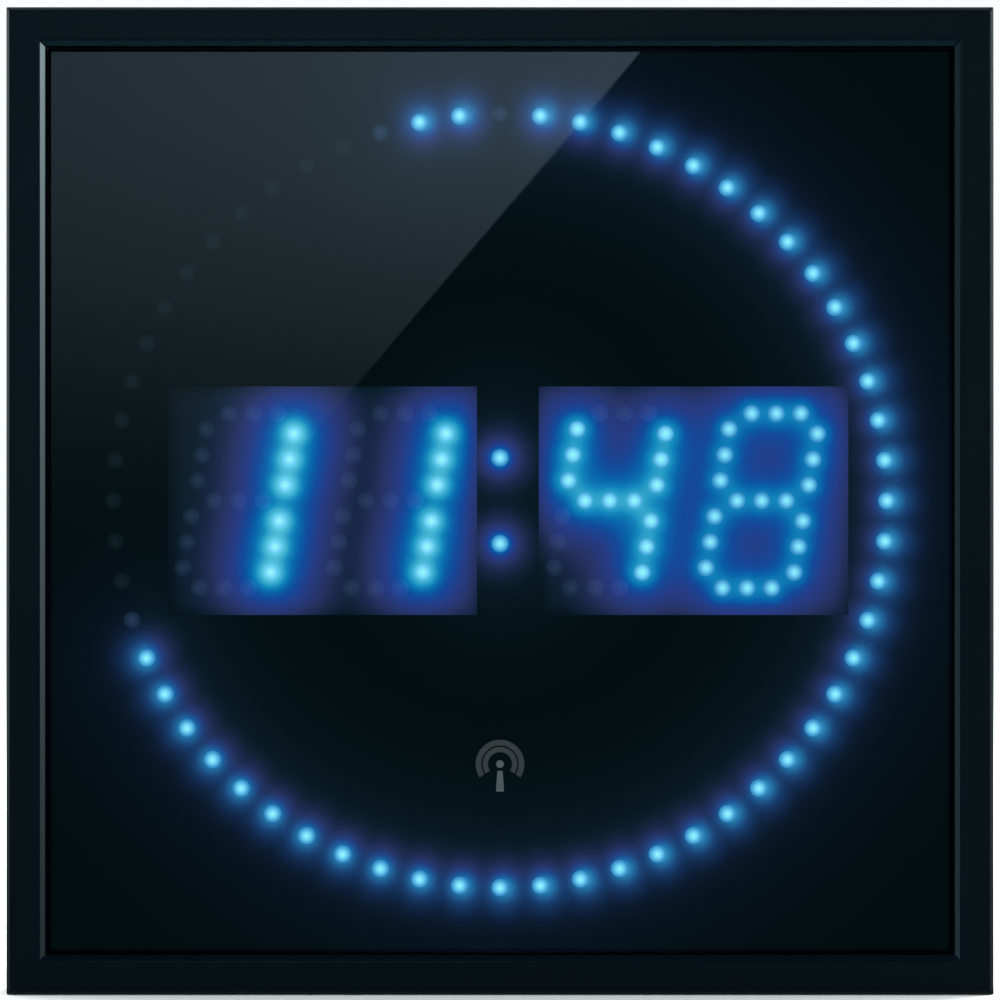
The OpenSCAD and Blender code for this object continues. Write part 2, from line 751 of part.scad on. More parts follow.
module battery_door() {
  color([0.05, 0.06, 0.06]) on_wall() translate([door_x, door_y, 0]) difference() {
    union() {
      translate([0, 0, door_sink]) cylinder(r = door_r, h = lug_h + lug_t - door_sink);
      for (i = [0:lug_count - 1])
        translate([0, 0, lug_h]) ring_part(door_r - lug_reach, lug_r, i * 360 / lug_count, lug_angle, lug_t);
    }
    translate([0, 0, door_sink - cut]) slot_x(coin_slot_l, coin_slot_w, coin_slot_depth + cut);
  }
}

// Radio receiver

module along_rod() { on_wall() translate([0, rod_y, rod_z]) rotate([0, 90, 0]) children(); }

module aerial_rod() { color([0.2, 0.2, 0.2]) along_rod() cylinder(d = rod_d, h = rod_l, center = true); }

module aerial_winding() {
  bore = rod_d + 2 * rod_clear;
  color([0.7, 0.4, 0.2]) along_rod() difference() {
    cylinder(d = bore + 2 * coil_t, h = coil_l, center = true);
    cylinder(d = bore, h = coil_l + 2 * cut, center = true);
  }
}

module aerial_holders() {
  holder_w = rod_d + 2 * rod_clear + 2 * pocket_t;
  holder_top = rod_h + rod_d / 4;
  color([0.9, 0.9, 0.85]) difference() {
    for (side = [-1, 1])
      under_board(side * holder_pitch / 2, rod_y, holder_top) block(holder_t, holder_w, holder_top);
    along_rod() cylinder(d = rod_d + 2 * rod_clear, h = rod_l, center = true);
  }
}

module receiver_board() {
  color([0.05, 0.2, 0.1])
    under_board(receiver_x, rod_y, receiver_h + receiver_t) block(receiver_l, receiver_w, receiver_t);
}

module receiver_pins() {
  color("gold")
    for (i = [0:pin_count - 1])
      under_board(receiver_x, rod_y + (i - (pin_count - 1) / 2) * pin_pitch, receiver_h)
        block(pin_w, pin_w, receiver_h);
}

module receiver_chip() {
  color([0.1, 0.1, 0.1])
    under_board(receiver_x, rod_y, receiver_h + receiver_t + receiver_chip_h)
      block(receiver_chip_w, receiver_chip_w, receiver_chip_h);
}

// Buttons and switches

module switch_bodies() {
  bore_h = plunger_inside + button_travel + cut;
  color([0.1, 0.1, 0.1]) on_wall() at(button_places, board_back_h - switch_body_h) difference() {
    block(switch_w, switch_w, switch_body_h);
    translate([0, 0, -cut]) cylinder(d = plunger_d + 2 * plunger_clear, h = bore_h + cut);
  }
}

module plunger(i) {
  color([0.8, 0.2, 0.15]) on_wall() at([button_places[i]], plunger_tip_h)
    cylinder(d = plunger_d, h = switch_h - switch_body_h + plunger_inside);
}
module set_plunger() { plunger(0); }
module plus_plunger() { plunger(1); }
module minus_plunger() { plunger(2); }
module radio_plunger() { plunger(3); }

// A button with a plain sign cut into its face
module button(i) {
  color([0.12, 0.13, 0.13]) on_wall() at([button_places[i]], 0) difference() {
    union() {
      translate([0, 0, button_sink]) cylinder(d = button_d, h = button_stem_h - button_sink);
      translate([0, 0, button_flange_h]) cylinder(d = button_d + 2 * button_flange_w, h = button_flange_t);
      translate([0, 0, button_stem_h]) cylinder(d = stem_d, h = plunger_tip_h - button_stem_h);
    }
    translate([0, 0, button_sink - cut]) linear_extrude(sign_depth + cut) children();
  }
}

module ring_sign() {
  difference() {
    circle(d = sign_size);
    circle(d = sign_size - 2 * sign_w);
  }
}
module bar_sign() { square([sign_size, sign_w], center = true); }
module cross_sign() {
  bar_sign();
  square([sign_w, sign_size], center = true);
}
module dot_sign() { circle(d = 2 * sign_w); }

module set_button() { button(0) ring_sign(); }
module plus_button() { button(1) cross_sign(); }
module minus_button() { button(2) bar_sign(); }
module radio_button() { button(3) dot_sign(); }

// Rear cover

module keyhole_cut(place) {
  translate([place[0], place[1], -cut]) {
    cylinder(d = hanger_d, h = cover_t + 2 * cut);
    translate([0, hanger_rise, 0]) cylinder(d = hanger_slot_w, h = cover_t + 2 * cut);
    translate([0, hanger_rise / 2, 0]) block(hanger_slot_w, hanger_rise, cover_t + 2 * cut);
  }
}

module hanger_box(grow, h) {
  at(hanger_places, cover_t) translate([0, hanger_middle, 0])
    block(hanger_inner_w + 2 * grow, hanger_inner_l + 2 * grow, h);
}

module plug_box(grow, foot_h) {
  translate([-plug_pocket_w / 2 - grow, plug_bottom_y - grow, foot_h])
    cube([plug_pocket_w + 2 * grow, plug_top_y - plug_bottom_y + 2 * grow, plug_floor_h - foot_h]);
}

module button_dish(margin, h) {
  middle = (button_places[0] + button_places[3]) / 2;
  dish_l = button_places[3][0] - button_places[0][0] + button_d + 2 * margin;
  translate([middle[0], middle[1], 0]) slot_x(dish_l, button_d + 2 * margin, h);
}

module vent_slots() {
  for (field = [[vent_x, vent_y], [-vent_x, -vent_y - vent_l]], i = [0:vent_count - 1])
    translate([field[0] + (i - (vent_count - 1) / 2) * vent_pitch, field[1], -cut]) rotate([0, 0, 90])
      slot_x(vent_l, vent_w, cover_t + 2 * cut);
}

module cell_well() {
  translate([door_x, door_y, 0]) {
    cylinder(r = groove_r + pocket_t, h = shelf_h + pocket_t);
    cylinder(r = well_r + pocket_t, h = well_back_h);
  }
}

module cell_well_cut() {
  notch_h = cover_t + 2 * cut;
  slot_l = contact_w + 2 * contact_clear;
  slot_t = contact_t + 2 * contact_clear;
  translate([door_x, door_y, 0]) {
    translate([0, 0, -cut]) cylinder(r = door_hole_r, h = notch_h);
    for (i = [0:lug_count - 1])
      translate([0, 0, -cut])
        ring_part(door_r - lug_reach, notch_r, i * 360 / lug_count - door_turn, notch_angle, notch_h);
    translate([0, 0, cover_t]) cylinder(r = groove_r, h = shelf_h - cover_t);
    translate([0, 0, cover_t]) cylinder(r = well_r, h = well_floor_h - cover_t);
    translate([cell_d / 2 + contact_t / 2, 0, cover_t]) block(slot_t, slot_l, well_back_h);
    translate([-cell_d / 2 + contact_t / 2, 0, well_floor_h - cut]) block(slot_t, slot_l, pocket_t + 2 * cut);
  }
}

module rear_cover() {
  inner_hw = cavity_hw - lip_clear - lip_t;
  color([0.04, 0.06, 0.06]) on_wall() difference() {
    union() {
      difference() {
        square_solid([[back_hw, 0], [cover_hw, seam_h]]);
        square_solid([[back_hw - wall_t, cover_t], [inner_hw, seam_h], [inner_hw, seam_h + cut]]);
      }
      difference() {
        square_solid([[cavity_hw - lip_clear, seam_h - cut], [cavity_hw - lip_clear, seam_h + lip_h]]);
        square_solid([[inner_hw, 0], [inner_hw, seam_h + lip_h + cut]]);
      }
      at(case_posts, cover_t / 2) cylinder(d = case_boss_d, h = case_boss_h - cover_t / 2);
      hanger_box(pocket_t, hanger_pocket_h + pocket_t);
      plug_box(pocket_t, cover_t / 2);
      translate([0, 0, plug_floor_h]) linear_extrude(plug_floor_t)
        translate([-plug_pocket_w / 2 - pocket_t, plug_bottom_y - pocket_t])
          square([plug_pocket_w + 2 * pocket_t, plug_top_y - plug_bottom_y + 2 * pocket_t]);
      translate([0, 0, cover_t / 2]) button_dish(dish_margin + pocket_t, button_pad_h - cover_t / 2);
      cell_well();
    }
    at(case_posts, -cut) cylinder(d = screw_head_d + 2 * screw_clear, h = case_seat_h + cut);
    at(case_posts, -cut) cylinder(d = screw_d + screw_clear, h = case_boss_h + 2 * cut);
    for (p = hanger_places) keyhole_cut(p);
    hanger_box(0, hanger_pocket_h);
    translate([0, 0, -cut]) button_dish(dish_margin, dish_depth + cut);
    at(button_places, -cut) cylinder(d = button_d + 2 * button_clear, h = button_pad_h + 2 * cut);
    plug_box(0, -cut);
    translate([0, jack_mouth_y + cut, jack_axis_z]) rotate([90, 0, 0])
      cylinder(d = jack_bore_d + 2 * jack_hole_clear, h = pocket_t + 2 * cut);
    translate([-cord_notch_w / 2, -case_hw, -cut])
      cube([cord_notch_w, case_hw + plug_bottom_y + cut, cord_notch_h + cut]);
    cell_well_cut();
    vent_slots();
  }
}

front_frame();
front_panel();
panel_tape();
light_mask();
hour_housing();
minute_housing();
main_board();
board_screws();
ring_lights();
hour_tens_lights();
hour_units_lights();
minute_tens_lights();
minute_units_lights();
colon_lights();
rear_cover();
case_screws();
controller_chip();
driver_chips();
resistor_blocks();
filter_capacitors();
voltage_regulator();
clock_crystal();
power_jack();
power_jack_pin();
coin_cell();
cell_plus_contact();
cell_minus_contact();
battery_door();
aerial_rod();
aerial_winding();
aerial_holders();
receiver_board();
receiver_pins();
receiver_chip();
switch_bodies();
set_plunger();
plus_plunger();
minus_plunger();
radio_plunger();
set_button();
plus_button();
minus_button();
radio_button();
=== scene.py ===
# Dressed model of a square wall clock with dotted blue digits inside a ring of sixty lights.
# Places are given as on the clock lying on its back: x right, y up, h out from the wall, in mm.
import math

import bpy
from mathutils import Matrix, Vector
from mathutils.geometry import delaunay_2d_cdt


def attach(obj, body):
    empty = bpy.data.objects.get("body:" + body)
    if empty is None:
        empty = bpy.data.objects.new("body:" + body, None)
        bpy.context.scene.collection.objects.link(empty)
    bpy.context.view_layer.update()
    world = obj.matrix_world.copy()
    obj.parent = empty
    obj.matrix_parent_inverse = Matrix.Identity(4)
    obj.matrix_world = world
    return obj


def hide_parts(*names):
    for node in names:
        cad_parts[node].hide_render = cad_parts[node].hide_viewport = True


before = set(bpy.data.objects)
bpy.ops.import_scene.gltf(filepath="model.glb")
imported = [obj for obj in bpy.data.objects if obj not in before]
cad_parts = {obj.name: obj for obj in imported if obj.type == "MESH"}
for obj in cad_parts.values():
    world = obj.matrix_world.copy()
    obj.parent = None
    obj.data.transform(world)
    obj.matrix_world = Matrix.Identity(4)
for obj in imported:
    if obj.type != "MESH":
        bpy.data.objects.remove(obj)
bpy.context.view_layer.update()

MM = 0.001

# Sizes that follow the solids
FRONT_H = 30.0
PANEL_H = 28.8
MASK_H = 23.2
MASK_HW = 121.0
HOUSING_HX = 44.0
HOUSING_HY = 32.5
HOUSING_XS = (-50.55, 55.05)
RING_R = 110.0
RING_COUNT = 60
DIGIT_XS = (-74.4, -31.2, 31.2, 74.4)
DIGIT_HALF_W = 12.65
DIGIT_HALF_H = 24.8
ROW_PITCH = 7.0
COLUMN_INSET = 5.1
COLUMN_PITCH = 7.3
COLUMN_STAGGER = 0.65
LEAN = math.tan(math.radians(9.5))
COLON_Y = 12.2
LENS_R = 2.5
LENS_FOOT_H = 16.6
LENS_TIP_H = 25.2
FLANGE_R = 2.9
FLANGE_T = 1.0
HOLE_R = 2.5
TAPE_H = 25.2
TAPE_T = 0.55
TAPE_HW = 127.3
TAPE_W = 11.45
CORNER_PAD = 104.6
FILM_T = 0.12

# What the clock shows: 11:48 and the running seconds
DIGIT_SEGMENTS = ("bc", "bc", "fgbc", "abcdefg")
DIGIT_LEVELS = (1.0, 0.96, 0.74, 0.60)
RING_DARK = range(43, 57)
RING_FAINT = (0, 42, 57)
FAINT = 0.01

SCREEN_WHITE = 255


def at(x, y, h):
    return Vector((x, -h, y)) * MM


def srgb(red, green, blue):
    """Linear colour of an eight-bit screen colour."""
    def straight(value):
        value /= SCREEN_WHITE
        return value / 12.92 if value <= 0.04045 else ((value + 0.055) / 1.055) ** 2.4
    return straight(red), straight(green), straight(blue), 1.0


def show(obj):
    bpy.context.scene.collection.objects.link(obj)
    return obj


def piece(name, mesh, mat, body="case", replaced=()):
    """A piece of the clock that rides on one of its bodies."""
    obj = show(bpy.data.objects.new(name, mesh))
    mesh.materials.append(mat)
    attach(obj, body)
    if replaced:
        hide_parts(*replaced)
    return obj


def mesh_of(name, points, faces, smooth=False):
    mesh = bpy.data.meshes.new(name)
    mesh.from_pydata(points, [], faces)
    mesh.update()
    if smooth:
        mesh.shade_smooth()
    return mesh


# Camera

VIEW_W = 283.4
CAMERA_Y = 0.2
CAMERA_AWAY = 1575.0
CLIP_M = (0.05, 60.0)
SENSOR_W = 36.0


def make_camera():
    data = bpy.data.cameras.new("camera")
    data.sensor_width = SENSOR_W
    data.lens = SENSOR_W * CAMERA_AWAY / VIEW_W
    data.clip_start, data.clip_end = CLIP_M
    camera = show(bpy.data.objects.new("camera", data))
    camera.location = at(0, CAMERA_Y, FRONT_H + CAMERA_AWAY)
    camera.rotation_euler = (math.radians(90), 0, 0)
    bpy.context.scene.camera = camera


make_camera()


# Materials

def set_stops(node, stops):
    """Gives a colour ramp its stops, as (place, colour)."""
    elements = node.color_ramp.elements
    while len(elements) < len(stops):
        elements.new(0.5)
    for element, (spot, colour) in zip(elements, stops):
        element.position = spot
        element.color = colour


class Paint:
    """A material of nodes round one Principled shader."""

    def __init__(self, name, sockets):
        self.mat = bpy.data.materials.new(name)
        self.mat.use_nodes = True
        self.tree = self.mat.node_tree
        self.shader = next(n for n in self.tree.nodes if n.type == "BSDF_PRINCIPLED")
        for key, value in sockets.items():
            self.shader.inputs[key].default_value = value
        self.place = self.add("TexCoord").outputs["Object"]

    def add(self, kind, inputs=None, **settings):
        node = self.tree.nodes.new("ShaderNode" + kind)
        for key, value in settings.items():
            setattr(node, key, value)
        for key, value in (inputs or {}).items():
            self.put(value, node.inputs[key])
        return node

    def put(self, value, socket):
        if isinstance(value, bpy.types.NodeSocket):
            self.tree.links.new(value, socket)
        else:
            socket.default_value = value

    def feed(self, key, value):
        self.tree.links.new(value, self.shader.inputs[key])

    def noise(self, scale, detail=2.0, rough=0.5, where=None):
        inputs = {"Vector": where or self.place, "Scale": scale, "Detail": detail, "Roughness": rough}
        return self.add("TexNoise", inputs).outputs[0]

    def cells(self, scale):
        inputs = {"Vector": self.place, "Scale": scale}
        return self.add("TexVoronoi", inputs, distance="CHEBYCHEV").outputs[0]

    def stretch(self, scale, turn=(0.0, 0.0, 0.0)):
        inputs = {"Vector": self.place, "Scale": scale, "Rotation": turn}
        return self.add("Mapping", inputs).outputs[0]

    def span(self, value, low, high, start=0.0, end=1.0):
        inputs = {"Value": value, "From Min": start, "From Max": end, "To Min": low, "To Max": high}
        return self.add("MapRange", inputs).outputs[0]

    def sum(self, first, second, operation="ADD"):
        return self.add("Math", {0: first, 1: second}, operation=operation).outputs[0]

    def mix(self, share, first, second, blend="MIX"):
        node = self.add("Mix", {0: share, 6: first, 7: second}, data_type="RGBA", blend_type=blend)
        return node.outputs[2]

    def ramp(self, value, stops):
        node = self.add("ValToRGB", {0: value})
        set_stops(node, stops)
        return node.outputs[0]

    def number(self, name):
        return self.add("Attribute", attribute_name=name).outputs["Fac"]

    def bump(self, height, distance_mm):
        inputs = {"Height": height, "Distance": distance_mm * MM, "Strength": 1.0}
        return self.add("Bump", inputs).outputs[0]


def moulded(name, deep, pale, rough, grain_mm=0.45, depth_mm=0.012):
    """Moulded plastic: fine spark-eroded grain, a slow drift of tone and a few rubbed patches."""
    paint = Paint(name, {"Specular IOR Level": 0.5})
    grain = paint.noise(1 / (grain_mm * MM), 3.0, 0.6)
    drift = paint.noise(22.0, 3.0)
    rubbed = paint.noise(70.0, 4.0, 0.62)
    tone = paint.sum(paint.span(drift, 0.0, 0.4), paint.span(grain, -0.3, 0.9, 0.3, 0.7))
    paint.feed("Base Color", paint.mix(tone, deep, pale))
    polish = paint.span(rubbed, rough + 0.02, rough - 0.04, 0.35, 0.72)
    paint.feed("Roughness", paint.sum(polish, paint.span(grain, -0.04, 0.06)))
    paint.feed("Normal", paint.bump(grain, depth_mm))
    return paint.mat


def metal(name, colour, worn, rough, scratch=(900.0, 60.0, 900.0)):
    """Plated metal with fine drawn lines and a cloudy finish."""
    paint = Paint(name, {"Metallic": 1.0})
    lines = paint.noise(1.0, 2.0, 0.5, paint.stretch(scratch))
    cloud = paint.noise(260.0, 3.0, 0.6)
    paint.feed("Base Color", paint.mix(cloud, colour, worn))
    haze = paint.span(cloud, rough - 0.06, rough + 0.1)
    paint.feed("Roughness", paint.sum(haze, paint.span(lines, -0.04, 0.06)))
    paint.feed("Normal", paint.bump(lines, 0.01))
    return paint.mat


def smoked_sheet():
    """Polished tinted acrylic with the faint haze of wiping."""
    paint = Paint("smoked_sheet", {
        "Base Color": (0.160, 0.172, 0.176, 1.0), "Transmission Weight": 1.0, "IOR": 1.49})
    wipe = paint.noise(1.0, 4.0, 0.6, paint.stretch((9.0, 9.0, 34.0), (0.0, 0.6, 0.0)))
    paint.feed("Roughness", paint.span(wipe, 0.006, 0.03, 0.35, 0.75))
    swell = paint.noise(11.0, 1.0)
    paint.feed("Normal", paint.bump(swell, 0.02))
    return paint.mat


TONE_STEPS = 4
GLOW_STRENGTH = 6.0


def spread_tones(*tones):
    """Stops of a colour ramp that run evenly on screen from each tone, a (place, colour), to the next."""
    stops = [(tones[0][0], srgb(*tones[0][1]))]
    for (low, first), (high, second) in zip(tones, tones[1:]):
        for step in range(1, TONE_STEPS + 1):
            share = step / TONE_STEPS
            mixed = [a + (b - a) * share for a, b in zip(first, second)]
            stops.append((low + (high - low) * share, srgb(*mixed)))
    return stops


def blue_tones(*tones):
    """Stops for a blue glow whose tones are (level, red, green); its blue on screen is the level itself."""
    return spread_tones(*[(level, (red, green, SCREEN_WHITE * level)) for level, red, green in tones])


# Colours of the painted glow: from near black by navy, violet and azure to pale cyan round the digits; round
# the ring without violet
DIGIT_GLOW = blue_tones(
    (0.01, 0, 1), (0.16, 10, 25), (0.38, 40, 48), (0.52, 40, 58),
    (0.60, 20, 72), (0.66, 6, 98), (0.75, 20, 140), (0.88, 100, 205))
RING_GLOW = blue_tones((0.01, 0, 1), (0.20, 12, 24), (0.44, 26, 62), (0.66, 38, 116), (0.90, 90, 190))
# A lit lens from its rim to its hot core
LENS_GLOW = spread_tones((0.0, (46, 126, 182)), (0.55, (120, 215, 250)), (1.0, (165, 255, 255)))


def painted_glow_film(name, ring=False):
    """Dark grained film whose emission is painted light: the glow that the dots scatter round them, painted
    on it where it falls.
    """
    paint = Paint(name, {"Base Color": (0.004, 0.005, 0.006, 1.0), "Specular IOR Level": 0.0,
                         "Emission Strength": GLOW_STRENGTH})
    grain = paint.noise(2600.0, 2.0)
    glow = paint.sum(paint.number("glow"), paint.span(grain, -0.012, 0.012))
    colour = paint.ramp(glow, DIGIT_GLOW)
    if ring:
        colour = paint.mix(paint.number("inner"), paint.ramp(glow, RING_GLOW), colour)
    paint.feed("Emission Color", colour)
    paint.feed("Roughness", paint.span(grain, 0.55, 0.75))
    paint.feed("Normal", paint.bump(grain, 0.01))
    paint.mat.cycles.emission_sampling = "NONE"
    return paint.mat


def lens_clear(name, painted_rim_shade, painted_core_highlight):
    """Clear epoxy lens: hot in the middle when lit; when not lit, a bead of painted light, painted shade at
    its rim and a painted highlight in its middle; lit or not, it also carries the painted glow of the dots
    near it.
    """
    paint = Paint(name, {
        "Base Color": (0.02, 0.024, 0.026, 1.0), "Emission Strength": GLOW_STRENGTH, "IOR": 1.53})
    swirl = paint.noise(900.0, 2.0)
    core = paint.sum(paint.number("core"), paint.span(swirl, -0.03, 0.03))
    hot = paint.ramp(core, LENS_GLOW)
    painted_bead_light = paint.mix(core, painted_rim_shade, painted_core_highlight)
    painted_glow_near = paint.ramp(paint.number("glow"), DIGIT_GLOW)
    painted_unlit_light = paint.mix(1.0, painted_glow_near, painted_bead_light, "ADD")
    bright = paint.mix(1.0, painted_glow_near, hot, "LIGHTEN")
    paint.feed("Emission Color", paint.mix(paint.number("lit"), painted_unlit_light, bright))
    paint.feed("Roughness", paint.span(swirl, 0.10, 0.22))
    paint.feed("Normal", paint.bump(swirl, 0.01))
    paint.mat.cycles.emission_sampling = "NONE"
    return paint.mat


# Lights

def digit_lights(x0, lit, level):
    """Three rows and two columns of a leaning digit, as (x, y, lit)."""
    places = []
    for row, y in zip("agd", (DIGIT_HALF_H, 0.0, -DIGIT_HALF_H)):
        for step in (-1, 0, 1):
            places.append((x0 + step * ROW_PITCH + LEAN * y, y, level * (row in lit)))
    for side, names in ((-1, "fe"), (1, "bc")):
        for half, column in zip((1, -1), names):
            for i in range(3):
                y = half * (COLUMN_INSET + i * COLUMN_PITCH) - side * COLUMN_STAGGER
                places.append((x0 + side * DIGIT_HALF_W + LEAN * y, y, level * (column in lit)))
    return places


def ring_level(i):
    if i in RING_FAINT:
        return FAINT
    return 0.0 if i in RING_DARK else 1.0


def ring_lights():
    turns = [2 * math.pi * i / RING_COUNT for i in range(RING_COUNT)]
    return [(RING_R * math.sin(a), RING_R * math.cos(a), ring_level(i)) for i, a in enumerate(turns)]


digits = [digit_lights(*digit) for digit in zip(DIGIT_XS, DIGIT_SEGMENTS, DIGIT_LEVELS)]
ring = ring_lights()
colon = [(0.0, COLON_Y, 1.0), (0.0, -COLON_Y, 1.0)]

# Painted light beside a dot: its core, its halo and a long tail, each as (gain, reach in mm, power)
DIGIT_FALL = ((0.32, 4.5, 3.0), (0.37, 13.4, 2.2), (0.085, 13.5, 1.0))
RING_FALL = ((0.29, 3.1, 2.0), (0.26, 5.8, 2.0), (0.055, 7.0, 1.0))
PAIR_SHARP = (4.3, 2.6)
RING_SHARP = 3.0
SCREEN_GAMMA = 2.2


def fall(distance, parts):
    """Brightness at a distance from a light."""
    return sum(gain * math.exp(-(distance / reach) ** power) for gain, reach, power in parts)


def glow_level(x, y, lights, parts, sharp):
    """Screen level of the painted light that several dots throw on one point; the sharper, the less they add
    up.
    """
    total = 0.0
    for lx, ly, level in lights:
        if level:
            total += (level * fall(math.hypot(x - lx, y - ly), parts)) ** sharp
    return total ** (1 / sharp / SCREEN_GAMMA)


def smooth(low, high, value):
    share = min(1.0, max(0.0, (value - low) / (high - low)))
    return share * share * (3 - 2 * share)


HALO_SHIFT = 1.1
HALO_SLANT = 0.3
HALO_SPAN = (-80.0, -20.0)


def shifted(x, y, level):
    """The ring's painted halos sit a little to the right of their lights, less so at the lower left."""
    return x + HALO_SHIFT * smooth(*HALO_SPAN, x + HALO_SLANT * y), y, level


halos = [shifted(*light) for light in ring] + colon


def mask_glow(x, y):
    return glow_level(x, y, halos, RING_FALL, RING_SHARP)


LENS_SIDES = 28
LENS_EDGE = 0.12
DOME_STEPS = 9
DOME_H = LENS_TIP_H - LENS_R
FLAT_X = -2.62
LIT_GAIN = 0.3
FAINT_RIM = 0.168
FAINT_CORE = 0.154
# A lower power widens the hot core of a digit's lit lenses
CORE_POWERS = (0.55, 0.55, 0.72, 1.0)


def lens_profile():
    """Radius and height of a lens from its foot to its tip."""
    top = LENS_FOOT_H + FLANGE_T
    profile = [(FLANGE_R - LENS_EDGE, LENS_FOOT_H), (FLANGE_R, LENS_FOOT_H + LENS_EDGE)]
    profile += [(FLANGE_R, top - LENS_EDGE), (FLANGE_R - LENS_EDGE, top)]
    profile += [(LENS_R + LENS_EDGE, top), (LENS_R, top + LENS_EDGE)]
    for i in range(DOME_STEPS):
        a = i * math.pi / 2 / DOME_STEPS
        profile.append((LENS_R * math.cos(a), DOME_H + LENS_R * math.sin(a)))
    return profile


def lens_group(name, places, mat, glow, core_power=1.0):
    """All the lenses of one group, with a flat on each flange."""
    profile = lens_profile()
    points, faces, core, lit, near = [], [], [], [], []
    for x, y, level in places:
        base = len(points)
        power = core_power if level > FAINT else 1.0
        for r, h in profile:
            for k in range(LENS_SIDES):
                a = 2 * math.pi * k / LENS_SIDES
                px, py = max(r * math.cos(a), FLAT_X), r * math.sin(a)
                points.append(at(x + px, y + py, h))
                core.append((1 - r / LENS_R) ** power if h > DOME_H else 0.0)
                near.append(glow(x + px, y + py))
        points += [at(x, y, LENS_TIP_H), at(x, y, LENS_FOOT_H)]
        core += [1.0, 0.0]
        near += [glow(x, y)] * 2
        if level == FAINT:
            near[base:] = [max(v, FAINT_RIM + FAINT_CORE * c) for v, c in zip(near[base:], core[base:])]
        lit += [min(1.0, level + LIT_GAIN) if level > FAINT else level] * (len(points) - base)
        tip, foot = len(points) - 2, len(points) - 1
        last = base + (len(profile) - 1) * LENS_SIDES
        for k in range(LENS_SIDES):
            n = (k + 1) % LENS_SIDES
            for j in range(len(profile) - 1):
                low, high = base + j * LENS_SIDES, base + (j + 1) * LENS_SIDES
                faces.append((low + k, low + n, high + n, high + k))
            faces.append((last + k, last + n, tip))
            faces.append((base + n, base + k, foot))
    mesh = mesh_of(name, points, faces, smooth=True)
    for key, values in (("core", core), ("lit", lit), ("glow", near)):
        mesh.attributes.new(key, "FLOAT", "POINT").data.foreach_set("value", values)
    return piece(name, mesh, mat, replaced=(name,))


EDGE_W = 4.0
EDGE_PAINTED_SHADE = 0.06


class Pair:
    """Two digits behind one window of the mask."""

    def __init__(self, x0, lights, sharp):
        self.x0 = x0
        self.lights = lights
        self.sharp = sharp

    def glow(self, x, y):
        """Painted glow inside the housing, with painted shade that makes it a little weaker along its edges.
        """
        edge = min(HOUSING_HX - abs(x - self.x0), HOUSING_HY - abs(y))
        level = glow_level(x, y, self.lights, DIGIT_FALL, self.sharp)
        return level - EDGE_PAINTED_SHADE * smooth(EDGE_W, 0.0, edge)


# Unlit beads: painted shade at the rim and a painted highlight in the middle, given off as light
digit_lens = lens_clear("digit_lens", srgb(4, 9, 14), srgb(30, 42, 60))
ring_lens = lens_clear("ring_lens", srgb(3, 8, 10), srgb(17, 25, 32))
pairs = [
    Pair(HOUSING_XS[0], digits[0] + digits[1], PAIR_SHARP[0]),
    Pair(HOUSING_XS[1], digits[2] + digits[3], PAIR_SHARP[1])]
for i, name in enumerate(("hour_tens", "hour_units", "minute_tens", "minute_units")):
    group = lens_group(name + "_lights", digits[i], digit_lens, pairs[i // 2].glow, CORE_POWERS[i])
    group.name = name + "_lenses"
lens_group("ring_lights", ring, ring_lens, mask_glow).name = "ring_lenses"
lens_group("colon_lights", colon, ring_lens, mask_glow).name = "colon_lenses"


# Painted glow: thin sheets with a hole for each light, whose emission paints the light scattered round the
# dots

def circle(x, y, r, count):
    return [(x + r * math.cos(2 * math.pi * k / count), y + r * math.sin(2 * math.pi * k / count))
            for k in range(count)]


def box_loop(x, y, hx, hy, step):
    """Points round a rectangle, at most a step apart."""
    corners = [(x - hx, y - hy), (x + hx, y - hy), (x + hx, y + hy), (x - hx, y + hy)]
    points = []
    for (ax, ay), (bx, by) in zip(corners, corners[1:] + corners[:1]):
        count = max(1, math.ceil(math.hypot(bx - ax, by - ay) / step))
        points += [(ax + (bx - ax) * i / count, ay + (by - ay) * i / count) for i in range(count)]
    return points


class Spread:
    """Points that keep a least distance from each other."""

    def __init__(self, cell):
        self.cell = cell
        self.cells = {}
        self.points = []

    def put(self, point):
        key = (math.floor(point[0] / self.cell), math.floor(point[1] / self.cell))
        self.cells.setdefault(key, []).append(point)
        self.points.append(Vector(point))
        return len(self.points) - 1

    def offer(self, point, room):
        i, j = math.floor(point[0] / self.cell), math.floor(point[1] / self.cell)
        near = [p for a in (-1, 0, 1) for b in (-1, 0, 1) for p in self.cells.get((i + a, j + b), ())]
        if all(math.hypot(p[0] - point[0], p[1] - point[1]) >= room for p in near):
            self.put(point)


HOLE_SIDES = 24
HOLE_KEEP = 0.97
# Rings of points round each hole, as (radius, count, least room)
HALO_RINGS = ((3.15, 24, 0.5), (3.8, 20, 0.6), (4.7, 18, 0.8), (5.9, 16, 1.0), (7.6, 16, 1.3))
HALO_MARGIN = 0.4
ROW_SHARE = 0.866
ROOM_SHARE = 0.85


